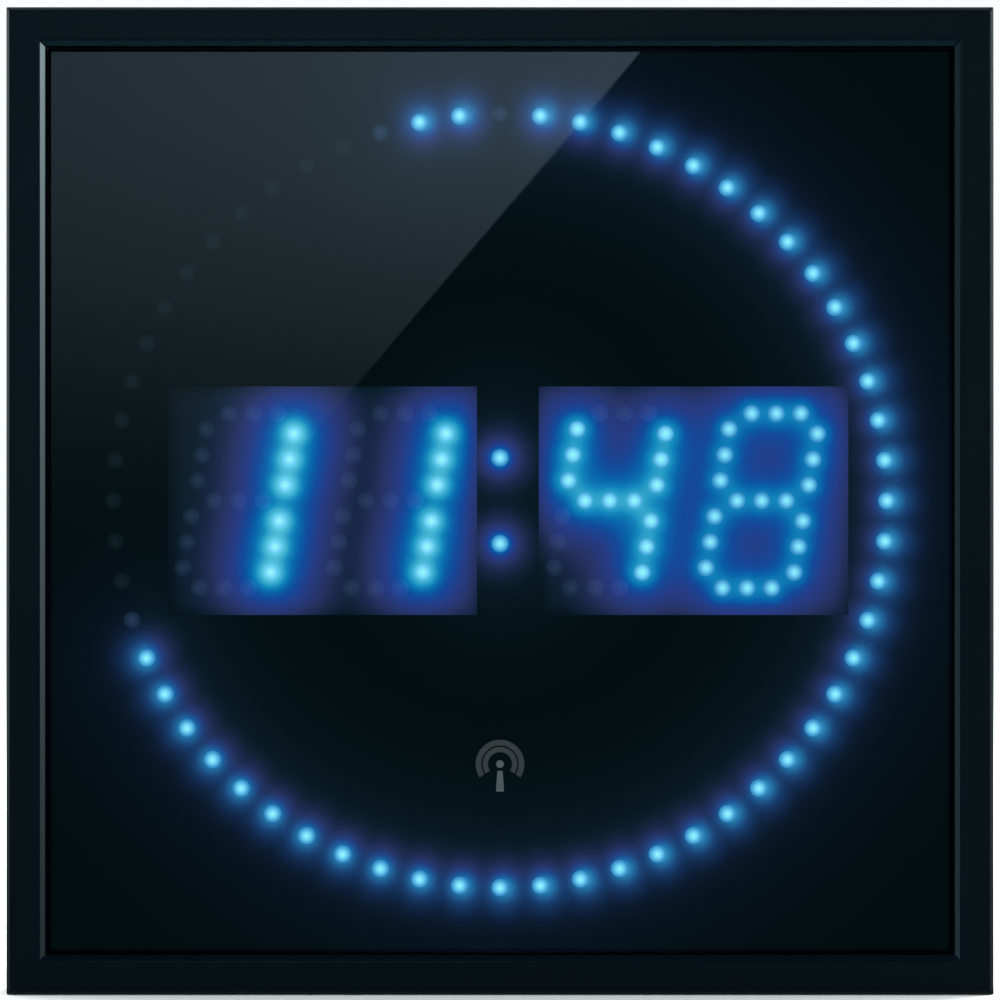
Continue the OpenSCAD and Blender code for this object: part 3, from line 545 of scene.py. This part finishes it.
def drilled_film(name, mat, half, holes, windows, step, glow, inner=None, foot_h=MASK_H, thick=FILM_T):
    """A closed thin sheet with round holes and oblong windows; glow(x, y) is kept at each point."""
    spread = Spread(step)
    edges = []
    x0, y0, hx, hy = half
    loops = [box_loop(x0, y0, hx, hy, step)]
    loops += [box_loop(x, y, wx, wy, step) for x, y, wx, wy in windows]
    loops += [circle(x, y, HOLE_R, HOLE_SIDES) for x, y in holes]
    for loop in loops:
        ids = [spread.put(p) for p in loop]
        edges += list(zip(ids, ids[1:] + ids[:1]))

    def free(x, y, room=0.0):
        if abs(x - x0) > hx - room or abs(y - y0) > hy - room:
            return False
        return not any(abs(x - wx) < dx + room and abs(y - wy) < dy + room for wx, wy, dx, dy in windows)

    for x, y in holes:
        for r, count, room in HALO_RINGS:
            for px, py in circle(x, y, r, count):
                if free(px, py, HALO_MARGIN):
                    spread.offer((px, py), room)
    rows = math.ceil(2 * hy / (step * ROW_SHARE))
    for j in range(rows):
        y = y0 - hy + (j + 0.5) * 2 * hy / rows
        for i in range(math.ceil(2 * hx / step)):
            x = x0 - hx + (i + 0.25 + 0.5 * (j % 2)) * step
            if free(x, y, 0.5 * step):
                spread.offer((x, y), ROOM_SHARE * step)
    flat, _, tris, *_ = delaunay_2d_cdt(spread.points, edges, [], 0, 1e-6, False)
    kept = []
    for a, b, c in tris:
        x, y = (flat[a] + flat[b] + flat[c]) / 3
        if free(x, y) and all(math.hypot(x - cx, y - cy) > HOLE_R * HOLE_KEEP for cx, cy in holes):
            area = (flat[b] - flat[a]).cross(flat[c] - flat[a])
            kept.append((a, b, c) if area > 0 else (a, c, b))
    count = len(flat)
    front = [at(p[0], p[1], foot_h + thick) for p in flat]
    back = [at(p[0], p[1], foot_h) for p in flat]
    faces = list(kept) + [(c + count, b + count, a + count) for a, b, c in kept]
    sides = {}
    for a, b, c in kept:
        for e in ((a, b), (b, c), (c, a)):
            sides[e] = True
    faces += [(a, a + count, b + count, b) for a, b in sides if (b, a) not in sides]
    mesh = mesh_of(name, front + back, faces)
    values = [glow(p[0], p[1]) for p in flat] * 2
    mesh.attributes.new("glow", "FLOAT", "POINT").data.foreach_set("value", values)
    if inner:
        shares = [inner(p[0], p[1]) for p in flat] * 2
        mesh.attributes.new("inner", "FLOAT", "POINT").data.foreach_set("value", shares)
    return piece(name, mesh, mat)


DIGIT_STEP = 1.5
RING_STEP = 2.6
TAPE_STEP = 1.8
INNER_SPAN = (112.0, 102.0)

# The sheets over the digit housings carry the digits' painted glow
digit_painted_glow = painted_glow_film("digit_painted_glow")
for name, pair in zip(("hour_painted_glow", "minute_painted_glow"), pairs):
    holes = [p[:2] for p in pair.lights]
    drilled_film(
        name, digit_painted_glow, (pair.x0, 0.0, HOUSING_HX, HOUSING_HY), holes, [], DIGIT_STEP, pair.glow)


def inside_ring(x, y):
    """How far a point counts as inside the ring, where the painted glow has the tint of the digits."""
    return smooth(*INNER_SPAN, math.hypot(x, y))


# The sheet over the mask carries the painted glow round the ring and the colon
ring_painted_glow = painted_glow_film("ring_painted_glow", ring=True)
drilled_film(
    "ring_painted_glow", ring_painted_glow, (0.0, 0.0, MASK_HW, MASK_HW), [p[:2] for p in ring + colon],
    [(x, 0.0, HOUSING_HX, HOUSING_HY) for x in HOUSING_XS], RING_STEP, mask_glow, inside_ring)
# The tape band between sheet and ledge carries the same painted glow
tape_hole = TAPE_HW - TAPE_W
tape = drilled_film(
    "tape_band", ring_painted_glow, (0.0, 0.0, TAPE_HW, TAPE_HW), [],
    [(0.0, 0.0, tape_hole, CORNER_PAD), (0.0, 0.0, CORNER_PAD, tape_hole)], TAPE_STEP,
    mask_glow, inside_ring, TAPE_H, TAPE_T)
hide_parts("panel_tape")


# Radio sign printed on the sheet: a mast under two arcs

def prism(points, faces, loop, h0, h1):
    """Adds a thin prism on a flat loop, given counter-clockwise."""
    base = len(points)
    n = len(loop)
    points += [at(x, y, h0) for x, y in loop] + [at(x, y, h1) for x, y in loop]
    faces.append(tuple(base + n + i for i in range(n)))
    faces.append(tuple(base + n - 1 - i for i in range(n)))
    for i in range(n):
        j = (i + 1) % n
        faces.append((base + i, base + j, base + n + j, base + n + i))


def arc_band(x, y, r0, r1, start, end, steps):
    """A loop round part of a ring, angles in degrees from the x axis."""
    turns = [math.radians(start + (end - start) * i / steps) for i in range(steps + 1)]
    outer = [(x + r1 * math.cos(a), y + r1 * math.sin(a)) for a in turns]
    return outer + [(x + r0 * math.cos(a), y + r0 * math.sin(a)) for a in reversed(turns)]


SIGN_Y = -74.7
SIGN_ARCS = ((3.4, 4.9), (5.3, 6.9))
SIGN_SWEEP = (-33.0, 213.0)
ARC_STEPS = 40
MAST_R = 1.1
MAST_TOP = 1.9
MAST_FOOT = 7.8
MAST_HW = (0.75, 1.15)
DOT_SIDES = 24
PRINT_T = 0.03


def printed(name, loops, h0, h1, mat, body="case"):
    """Printed or filled marks: one thin prism on each loop."""
    points, faces = [], []
    for loop in loops:
        prism(points, faces, loop, h0, h1)
    piece(name, mesh_of(name, points, faces), mat, body)


def bar(x, y, hx, hy):
    return [(x - hx, y - hy), (x + hx, y - hy), (x + hx, y + hy), (x - hx, y + hy)]


def cross(x, y, half, w):
    """A plus sign as one loop."""
    quarter = [(w, w), (w, half), (-w, half)]
    loop = []
    for turn in range(4):
        c, s = round(math.cos(turn * math.pi / 2)), round(math.sin(turn * math.pi / 2))
        loop += [(x + c * px - s * py, y + s * px + c * py) for px, py in quarter]
    return loop


def printed_ink(name, deep, pale):
    """Screen-printed ink with the ghost of the mesh it was pressed through."""
    paint = Paint(name, {"Specular IOR Level": 0.3})
    mesh_mark = paint.cells(6000.0)
    blot = paint.noise(800.0, 3.0)
    paint.feed("Base Color", paint.mix(blot, deep, pale))
    paint.feed("Roughness", paint.span(blot, 0.45, 0.65))
    paint.feed("Normal", paint.bump(mesh_mark, 0.006))
    return paint.mat


grey_ink = printed_ink("grey_ink", (0.022, 0.032, 0.037, 1.0), (0.034, 0.045, 0.050, 1.0))
pale_ink = printed_ink("pale_ink", (0.058, 0.075, 0.082, 1.0), (0.080, 0.098, 0.105, 1.0))
arcs = [arc_band(0.0, SIGN_Y, r0, r1, *SIGN_SWEEP, ARC_STEPS) for r0, r1 in SIGN_ARCS]
printed("radio_sign_arcs", arcs, PANEL_H, PANEL_H + PRINT_T, grey_ink)
stem = [
    (-MAST_HW[1], SIGN_Y - MAST_FOOT), (MAST_HW[1], SIGN_Y - MAST_FOOT),
    (MAST_HW[0], SIGN_Y - MAST_TOP), (-MAST_HW[0], SIGN_Y - MAST_TOP)]
mast = [circle(0.0, SIGN_Y, MAST_R, DOT_SIDES), stem]
printed("radio_sign_mast", mast, PANEL_H, PANEL_H + PRINT_T, pale_ink)


# Marks on the back: filled button signs, turning marks of the battery door, polarity of the inlet

BUTTON_XS = {"set": -95.0, "plus": -77.0, "minus": -59.0, "radio": -41.0}
BUTTON_Y = 35.0
SIGN_HALF = 2.17
SIGN_LINE = 0.42
FILL_H = (0.5, 0.7)
DOOR_XY = (70.0, -70.0)
DOOR_H = 0.2
DOOR_TURN = 45.0
DOOR_SHUT = 90.0
DOOR_MARK_R = 10.6
COVER_MARK_R = 18.6
MARK_DOT_R = 0.9
MARK_RING = (0.55, 1.05)
ARROW_HALF = 0.3
HEAD_HALF = 1.2
HEAD_TURN = 5.0
ARROW_GAPS = (9.0, 7.0)
INLET_XY = (-30.0, -112.0)
BACK_T = 0.02


def polar(middle, r, angle):
    a = math.radians(angle)
    return middle[0] + r * math.cos(a), middle[1] + r * math.sin(a)


def button_fills(mat):
    """Paint in the sign of each button, a little below its face."""
    xs = BUTTON_XS
    ring_loop = arc_band(xs["set"], BUTTON_Y, SIGN_HALF - 2 * SIGN_LINE, SIGN_HALF, 0.0, 359.5, 48)
    loops = {
        "set": ring_loop,
        "plus": cross(xs["plus"], BUTTON_Y, SIGN_HALF, SIGN_LINE),
        "minus": bar(xs["minus"], BUTTON_Y, SIGN_HALF, SIGN_LINE),
        "radio": circle(xs["radio"], BUTTON_Y, 2 * SIGN_LINE, DOT_SIDES)}
    for key, loop in loops.items():
        printed(key + "_button_fill", [loop], *FILL_H, mat, key + "_button")


def door_marks(mat):
    """A dot on the door; on the cover a dot where it is shut, a ring where it lifts out, an arrow between."""
    lifted = DOOR_SHUT - DOOR_TURN
    door_dot = circle(*polar(DOOR_XY, DOOR_MARK_R, DOOR_SHUT), MARK_DOT_R, DOT_SIDES)
    printed("battery_door_mark", [door_dot], DOOR_H - BACK_T, DOOR_H, mat, "battery_door")
    tip, tail = lifted + ARROW_GAPS[0], DOOR_SHUT - ARROW_GAPS[1]
    neck = tip + HEAD_TURN
    arrow = arc_band(*DOOR_XY, COVER_MARK_R - ARROW_HALF, COVER_MARK_R + ARROW_HALF, neck, tail, 12)
    head = [
        polar(DOOR_XY, COVER_MARK_R - HEAD_HALF, neck), polar(DOOR_XY, COVER_MARK_R + HEAD_HALF, neck),
        polar(DOOR_XY, COVER_MARK_R, tip)]
    dot = circle(*polar(DOOR_XY, COVER_MARK_R, DOOR_SHUT), MARK_DOT_R, DOT_SIDES)
    open_ring = arc_band(*polar(DOOR_XY, COVER_MARK_R, lifted), *MARK_RING, 0.0, 359.0, 32)
    printed("battery_turn_marks", [arrow, head, dot, open_ring], -BACK_T, 0.0, mat)


def inlet_marks(mat):
    """Which part of the plug is plus: its middle, and minus its sleeve."""
    x, y = INLET_XY
    line = 0.25
    half, reach = 1.3, 6.9
    loops = [
        circle(x, y, MARK_DOT_R, DOT_SIDES), arc_band(x, y, 2.0, 2.5, 40.0, 320.0, 32),
        bar(x + 2.9, y, 2.1, line), bar(x - 3.7, y, half, line),
        cross(x + reach, y, half, line), bar(x - reach, y, half, line)]
    printed("inlet_marks", loops, -BACK_T, 0.0, mat)


back_ink = printed_ink("back_ink", (0.42, 0.43, 0.43, 1.0), (0.52, 0.53, 0.53, 1.0))
button_fills(back_ink)
door_marks(back_ink)
inlet_marks(back_ink)


# Solids that keep their shape get their materials here

def dress(mat, *names):
    for name in names:
        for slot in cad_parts[name].material_slots:
            slot.material = mat


BEVEL_IN = 128.6
BEVEL_OUT = 130.8
FACE_H = 28.6


def frame_satin():
    """Satin plastic whose inner bevel is polished; its front has a cooler tint than its sides, in its colour
    and in its reflections, which is painted light standing in for the bluish light of the room before it.
    """
    paint = Paint("frame_satin", {"Specular IOR Level": 0.3})
    grain = paint.noise(2200.0, 3.0, 0.6)
    drift = paint.noise(22.0, 3.0)
    rubbed = paint.noise(70.0, 4.0, 0.62)
    parts = paint.add("SeparateXYZ", {0: paint.place})
    # Painted light: the front's cooler colour and cyan specular tint stand in for the bluish light that falls
    # on it
    face = paint.mix(drift, (0.0001, 0.0023, 0.0056, 1.0), (0.0003, 0.0031, 0.0070, 1.0))
    side = paint.mix(drift, (0.0030, 0.0034, 0.0037, 1.0), (0.0048, 0.0053, 0.0057, 1.0))
    front = paint.sum(parts.outputs["Y"], -FACE_H * MM, "LESS_THAN")
    paint.feed("Base Color", paint.mix(front, side, face))
    paint.feed("Specular Tint", paint.mix(front, (1.0, 1.0, 1.0, 1.0), (0.62, 0.94, 1.0, 1.0)))
    wide = paint.add("Math", {0: parts.outputs["X"]}, operation="ABSOLUTE").outputs[0]
    high = paint.add("Math", {0: parts.outputs["Z"]}, operation="ABSOLUTE").outputs[0]
    out = paint.sum(wide, high, "MAXIMUM")
    past_in = paint.sum(out, BEVEL_IN * MM, "GREATER_THAN")
    short_of_out = paint.sum(out, BEVEL_OUT * MM, "LESS_THAN")
    bevel = paint.sum(past_in, short_of_out, "MULTIPLY")
    satin = paint.sum(paint.span(rubbed, 0.37, 0.33, 0.35, 0.72), paint.span(grain, -0.04, 0.06))
    gloss = paint.span(rubbed, 0.06, 0.12)
    rough = paint.add("Mix", {0: bevel, 2: satin, 3: gloss}, data_type="FLOAT").outputs[0]
    paint.feed("Roughness", rough)
    depth = paint.sum(grain, paint.span(bevel, 1.0, 0.1), "MULTIPLY")
    paint.feed("Normal", paint.bump(depth, 0.012))
    return paint.mat


dress(frame_satin(), "front_frame")
dress(smoked_sheet(), "front_panel")
cover_grain = moulded(
    "cover_grain", (0.0060, 0.0068, 0.0071, 1.0), (0.0120, 0.0134, 0.0140, 1.0), 0.44, depth_mm=0.04)
mask_matt = moulded("mask_matt", (0.005, 0.006, 0.007, 1.0), (0.008, 0.009, 0.010, 1.0), 0.6)
button_soft = moulded("button_soft", (0.022, 0.024, 0.025, 1.0), (0.034, 0.037, 0.038, 1.0), 0.62, 0.3, 0.02)
dress(cover_grain, "rear_cover", "battery_door")
dress(mask_matt, "light_mask", "hour_housing", "minute_housing")
dress(button_soft, "set_button", "plus_button", "minus_button", "radio_button")
dress(metal("screw_black", (0.05, 0.05, 0.055, 1.0), (0.09, 0.09, 0.09, 1.0), 0.38), "case_screws")


def circuit_board():
    """Green lacquer over copper tracks and a speckled weave."""
    paint = Paint("circuit_board", {"Specular IOR Level": 0.5})
    weave = paint.cells(1600.0)
    bands = paint.add("TexWave", {"Vector": paint.place, "Scale": 110.0, "Distortion": 9.0, "Detail": 1.0})
    track = paint.span(bands.outputs["Fac"], 0.0, 1.0, 0.55, 0.62)
    lacquer = paint.mix(paint.noise(40.0), (0.006, 0.045, 0.018, 1.0), (0.010, 0.062, 0.026, 1.0))
    paint.feed("Base Color", paint.mix(track, lacquer, (0.022, 0.105, 0.045, 1.0)))
    paint.feed("Roughness", paint.span(weave, 0.24, 0.38))
    paint.feed("Normal", paint.bump(paint.sum(track, weave), 0.03))
    return paint.mat


def copper_winding():
    """Enamelled wire laid turn by turn along the rod."""
    paint = Paint("copper_winding", {"Metallic": 0.8})
    inputs = {"Vector": paint.place, "Scale": 900.0, "Distortion": 0.4}
    shade = paint.add("TexWave", inputs, bands_direction="X").outputs["Fac"]
    paint.feed("Base Color", paint.mix(shade, (0.16, 0.045, 0.015, 1.0), (0.50, 0.19, 0.075, 1.0)))
    paint.feed("Roughness", paint.span(shade, 0.42, 0.24))
    paint.feed("Normal", paint.bump(shade, 0.08))
    return paint.mat


def inner_plastic(name, tone, rough):
    """Plain moulded plastic of a small inner piece, round one tone."""
    deep = tuple(0.85 * v for v in tone) + (1.0,)
    pale = tuple(1.15 * v for v in tone) + (1.0,)
    return moulded(name, deep, pale, rough, 0.15, 0.006)


dress(circuit_board(), "main_board", "receiver_board")
dress(copper_winding(), "aerial_winding")
chip_epoxy = inner_plastic("chip_epoxy", (0.013, 0.013, 0.014), 0.5)
dress(chip_epoxy, "controller_chip", "driver_chips", "receiver_chip", "voltage_regulator")
dress(inner_plastic("resistor_body", (0.02, 0.02, 0.025), 0.4), "resistor_blocks")
dress(inner_plastic("capacitor_sleeve", (0.012, 0.016, 0.05), 0.35), "filter_capacitors")
dress(inner_plastic("jack_plastic", (0.012, 0.012, 0.013), 0.4), "power_jack")
dress(inner_plastic("holder_plastic", (0.62, 0.61, 0.57), 0.5), "aerial_holders")
dress(inner_plastic("switch_plastic", (0.02, 0.021, 0.022), 0.45), "switch_bodies")
plunger_plastic = inner_plastic("plunger_plastic", (0.05, 0.05, 0.052), 0.42)
dress(plunger_plastic, "set_plunger", "plus_plunger", "minus_plunger", "radio_plunger")
dress(inner_plastic("ferrite", (0.035, 0.034, 0.034), 0.66), "aerial_rod")
dress(metal("zinc_steel", (0.58, 0.59, 0.58, 1.0), (0.66, 0.66, 0.62, 1.0), 0.32), "board_screws")
dress(metal("crystal_can", (0.70, 0.70, 0.69, 1.0), (0.78, 0.78, 0.77, 1.0), 0.2), "clock_crystal")
contact_metal = metal("contact_metal", (0.74, 0.68, 0.50, 1.0), (0.80, 0.76, 0.62, 1.0), 0.25)
dress(contact_metal, "cell_plus_contact", "cell_minus_contact", "power_jack_pin", "receiver_pins")
dress(metal("cell_steel", (0.68, 0.69, 0.70, 1.0), (0.74, 0.74, 0.74, 1.0), 0.22), "coin_cell")


# Edges of the moulded pieces are softened without touching their solids

EDGE_ANGLE = math.radians(28)
FLAT_ANGLE = math.radians(0.5)
WELD_MM = 0.002


def soften(width_mm, *names):
    for name in names:
        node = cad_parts[name]
        node.modifiers.new("weld", "WELD").merge_threshold = WELD_MM * MM
        flat = node.modifiers.new("flat_faces", "DECIMATE")
        flat.decimate_type = "DISSOLVE"
        flat.angle_limit = FLAT_ANGLE
        bevel = node.modifiers.new("soft_edges", "BEVEL")
        bevel.width = width_mm * MM
        bevel.segments = 3
        bevel.limit_method = "ANGLE"
        bevel.angle_limit = EDGE_ANGLE
        bevel.use_clamp_overlap = False
        bevel.harden_normals = True


soften(0.3, "front_frame")
soften(0.25, "rear_cover", "battery_door")
soften(0.12, "set_button", "plus_button", "minus_button", "radio_button")


# Room

FRONT_GLOSS = (0.020, 0.090, 0.100, 1.0)
SIDE_GLOSS = (0.072, 0.079, 0.083, 1.0)
BACK_GLOSS = (0.20, 0.21, 0.21, 1.0)
AMBIENT = (0.95, 1.0, 1.0, 1.0)
BACKDROP = (0.957, 1.0, 1.0, 1.0)
FLOOR_FADE = (1.2, 3.6)
FLOOR_REACH = 6.0
FLOOR_Z = -0.1402
GLOSS_SPAN = (-0.985, 0.3)
GLOSS_STOPS = ((0.0, FRONT_GLOSS), (0.06, SIDE_GLOSS), (0.5, SIDE_GLOSS), (1.0, BACK_GLOSS))


def reflector(name, points, faces, levels, colour, dark=FRONT_GLOSS):
    """A card of light seen only in glossy surfaces; at level 0 it is as dark as the room behind it."""
    peak = max(levels)
    mesh = mesh_of(name, points, faces)
    mesh.attributes.new("level", "FLOAT", "POINT").data.foreach_set("value", [v / peak for v in levels])
    paint = Paint(name + "_light", {"Base Color": (0.0, 0.0, 0.0, 1.0), "Specular IOR Level": 0.0,
                                    "Emission Strength": 1.0})
    full = tuple(peak * v for v in colour) + (1.0,)
    paint.feed("Emission Color", paint.mix(paint.number("level"), dark, full))
    mesh.materials.append(paint.mat)
    card = show(bpy.data.objects.new(name, mesh))
    for ray in ("camera", "diffuse", "transmission", "volume_scatter", "shadow"):
        setattr(card, "visible_" + ray, False)


CARD_AWAY = 600.0
SIDE_CARD_AWAY = 2000.0
SIDE_CARD_SCALE = 1.6
SIDE_TURN = math.radians(45)
SIDE_DROP = math.radians(25)
CARD_TINT = (0.64, 0.99, 1.21)
CARD_STEPS = 24
CARD_LEFT = -140.0
CARD_FOOT = -34.0
CARD_FALL = 1.25
CARD_DIM = 0.67
CARD_GAIN = 0.42
CARD_GAIN_FROM = 125.0
CARD_GAIN_W = 136.0


def gloss_card(name, way, across, away, scale, top, edge_top, edge_lean, level, dark):
    """Pale ceiling with a slanting edge, mirrored in the upper left of the sheet when seen from one side."""
    up = way.cross(across)
    middle = at(0.0, 0.0, PANEL_H) + way * away * MM
    points, faces, levels = [], [], []
    for j in range(CARD_STEPS + 1):
        t = j / CARD_STEPS
        y = top + (CARD_FOOT - top) * t
        right = edge_top - edge_lean * (top - y)
        for i in range(CARD_STEPS + 1):
            x = CARD_LEFT + (right - CARD_LEFT) * i / CARD_STEPS
            points.append(middle + (across * x + up * y) * scale * MM)
            gain = CARD_DIM + CARD_GAIN * (x + CARD_GAIN_FROM) / CARD_GAIN_W
            levels.append(level * gain * (0.5 + 0.5 * math.cos(math.pi * t)) ** CARD_FALL)
    for j in range(CARD_STEPS):
        for i in range(CARD_STEPS):
            a = j * (CARD_STEPS + 1) + i
            faces.append((a, a + 1, a + CARD_STEPS + 2, a + CARD_STEPS + 1))
    reflector(name, points, faces, levels, CARD_TINT, dark)


def gloss_cards():
    """One card for the view from in front and one for a view from the right and above."""
    scale = 1 + CARD_AWAY / (CAMERA_AWAY + FRONT_H - PANEL_H)
    gloss_card(
        "front_gloss", Vector((0, -1, 0)), Vector((1, 0, 0)), CARD_AWAY, scale,
        top=138.0, edge_top=48.9, edge_lean=0.852, level=1.0, dark=FRONT_GLOSS)
    flat = math.cos(SIDE_DROP)
    way = Vector((-math.sin(SIDE_TURN) * flat, -math.cos(SIDE_TURN) * flat, -math.sin(SIDE_DROP)))
    across = Vector((math.cos(SIDE_TURN), -math.sin(SIDE_TURN), 0))
    gloss_card(
        "side_gloss", way, across, SIDE_CARD_AWAY, SIDE_CARD_SCALE,
        top=186.0, edge_top=86.0, edge_lean=0.92, level=0.46, dark=SIDE_GLOSS)


STRIP_AWAY = 1.5
STRIP_TURN = math.radians(54.6)
STRIP_W = 0.36
STRIP_HALF = 0.30
STRIP_STEPS = 8


def strip_card(name, side, colour, level_low, level_high):
    """A strip mirrored in one inner bevel; side is the way it stands from the clock, as (x, z)."""
    rise, run = math.sin(STRIP_TURN), math.cos(STRIP_TURN)
    out = Vector((side[0], 0.0, side[1]))
    middle = (out * rise - Vector((0.0, run, 0.0))) * STRIP_AWAY
    across = (out * run + Vector((0.0, rise, 0.0))) * STRIP_W / 2
    along = Vector((-side[1], 0.0, abs(side[0]))) * STRIP_HALF
    points, levels = [], []
    for step in range(STRIP_STEPS + 1):
        share = step / STRIP_STEPS
        points += [middle + along * (2 * share - 1) + across * i for i in (-1, 1)]
        levels += [level_low ** (1 - share) * level_high ** share] * 2
    faces = [(2 * i, 2 * i + 1, 2 * i + 3, 2 * i + 2) for i in range(STRIP_STEPS)]
    reflector(name, points, faces, levels, colour)


def softbox(name, place, size, power):
    """A white area light that faces the clock; place and size in metres."""
    data = bpy.data.lights.new(name, "AREA")
    data.shape = "RECTANGLE"
    data.size, data.size_y = size
    data.energy = power
    light = show(bpy.data.objects.new(name, data))
    light.location = place
    light.rotation_euler = (-Vector(place)).to_track_quat("-Z", "Y").to_euler()
    light.visible_camera = False


def make_floor():
    """Pale floor that goes over into the backdrop far away."""
    paint = Paint("floor_pale", {"Specular IOR Level": 0.0, "Emission Color": BACKDROP})
    speck = paint.noise(40.0, 3.0)
    pale = paint.mix(speck, (0.94, 0.975, 0.975, 1.0), (0.96, 0.99, 0.99, 1.0))
    away = paint.add("VectorMath", {0: paint.place}, operation="LENGTH").outputs["Value"]
    far = paint.span(away, 0.0, 1.0, *FLOOR_FADE)
    paint.feed("Base Color", paint.mix(far, pale, (0.0, 0.0, 0.0, 1.0)))
    paint.feed("Emission Strength", far)
    paint.mat.cycles.emission_sampling = "NONE"
    paint.feed("Roughness", paint.span(speck, 0.8, 0.9))
    corners = [(x * FLOOR_REACH, y * FLOOR_REACH, FLOOR_Z) for x, y in ((-1, -1), (1, -1), (1, 1), (-1, 1))]
    mesh = mesh_of("floor", corners, [(0, 1, 2, 3)])
    mesh.materials.append(paint.mat)
    floor = show(bpy.data.objects.new("floor", mesh))
    floor.visible_glossy = False
    floor.visible_transmission = False


def make_world():
    """White to the eye and on matt surfaces; in gloss the room is dark but for its pale back."""
    world = bpy.data.worlds.new("room")
    bpy.context.scene.world = world
    world.use_nodes = True
    tree = world.node_tree
    tree.nodes.clear()
    path = tree.nodes.new("ShaderNodeLightPath")
    way = tree.nodes.new("ShaderNodeSeparateXYZ")
    tree.links.new(tree.nodes.new("ShaderNodeTexCoord").outputs["Generated"], way.inputs[0])
    turn = tree.nodes.new("ShaderNodeMapRange")
    turn.inputs["From Min"].default_value, turn.inputs["From Max"].default_value = GLOSS_SPAN
    tree.links.new(way.outputs["Y"], turn.inputs["Value"])
    depth = tree.nodes.new("ShaderNodeValToRGB")
    tree.links.new(turn.outputs[0], depth.inputs[0])
    set_stops(depth, GLOSS_STOPS)
    shades = []
    for colour in (AMBIENT, depth.outputs[0], BACKDROP):
        shade = tree.nodes.new("ShaderNodeBackground")
        if isinstance(colour, tuple):
            shade.inputs["Color"].default_value = colour
        else:
            tree.links.new(colour, shade.inputs["Color"])
        shades.append(shade.outputs[0])
    mixed = shades[0]
    for key, shade in (("Is Glossy Ray", shades[1]), ("Is Camera Ray", shades[2])):
        mixer = tree.nodes.new("ShaderNodeMixShader")
        tree.links.new(path.outputs[key], mixer.inputs[0])
        tree.links.new(mixed, mixer.inputs[1])
        tree.links.new(shade, mixer.inputs[2])
        mixed = mixer.outputs[0]
    out = tree.nodes.new("ShaderNodeOutputWorld")
    tree.links.new(mixed, out.inputs[0])


make_world()
make_floor()
gloss_cards()
strip_card("right_strip", (1, 0), (1.15, 1.04, 1.0), 0.80, 15.5)
strip_card("left_strip", (-1, 0), (0.80, 0.92, 1.0), 1.3, 0.7)
strip_card("low_strip", (0, -1), (0.60, 0.95, 1.0), 0.5, 0.5)
softbox("top_box", (0.0, 0.9, 1.8), (2.2, 1.2), 14.0)
softbox("left_box", (-2.0, 0.25, 0.5), (0.8, 1.4), 12.0)
softbox("right_box", (2.0, 0.35, 0.6), (0.8, 1.4), 12.0)
softbox("rear_right_box", (1.5, 1.5, 0.9), (0.9, 1.0), 64.0)
softbox("rear_left_box", (-1.9, 1.2, 1.3), (1.4, 1.4), 16.0)

view = bpy.context.scene.view_settings
view.view_transform = "Standard"
view.look = "None"
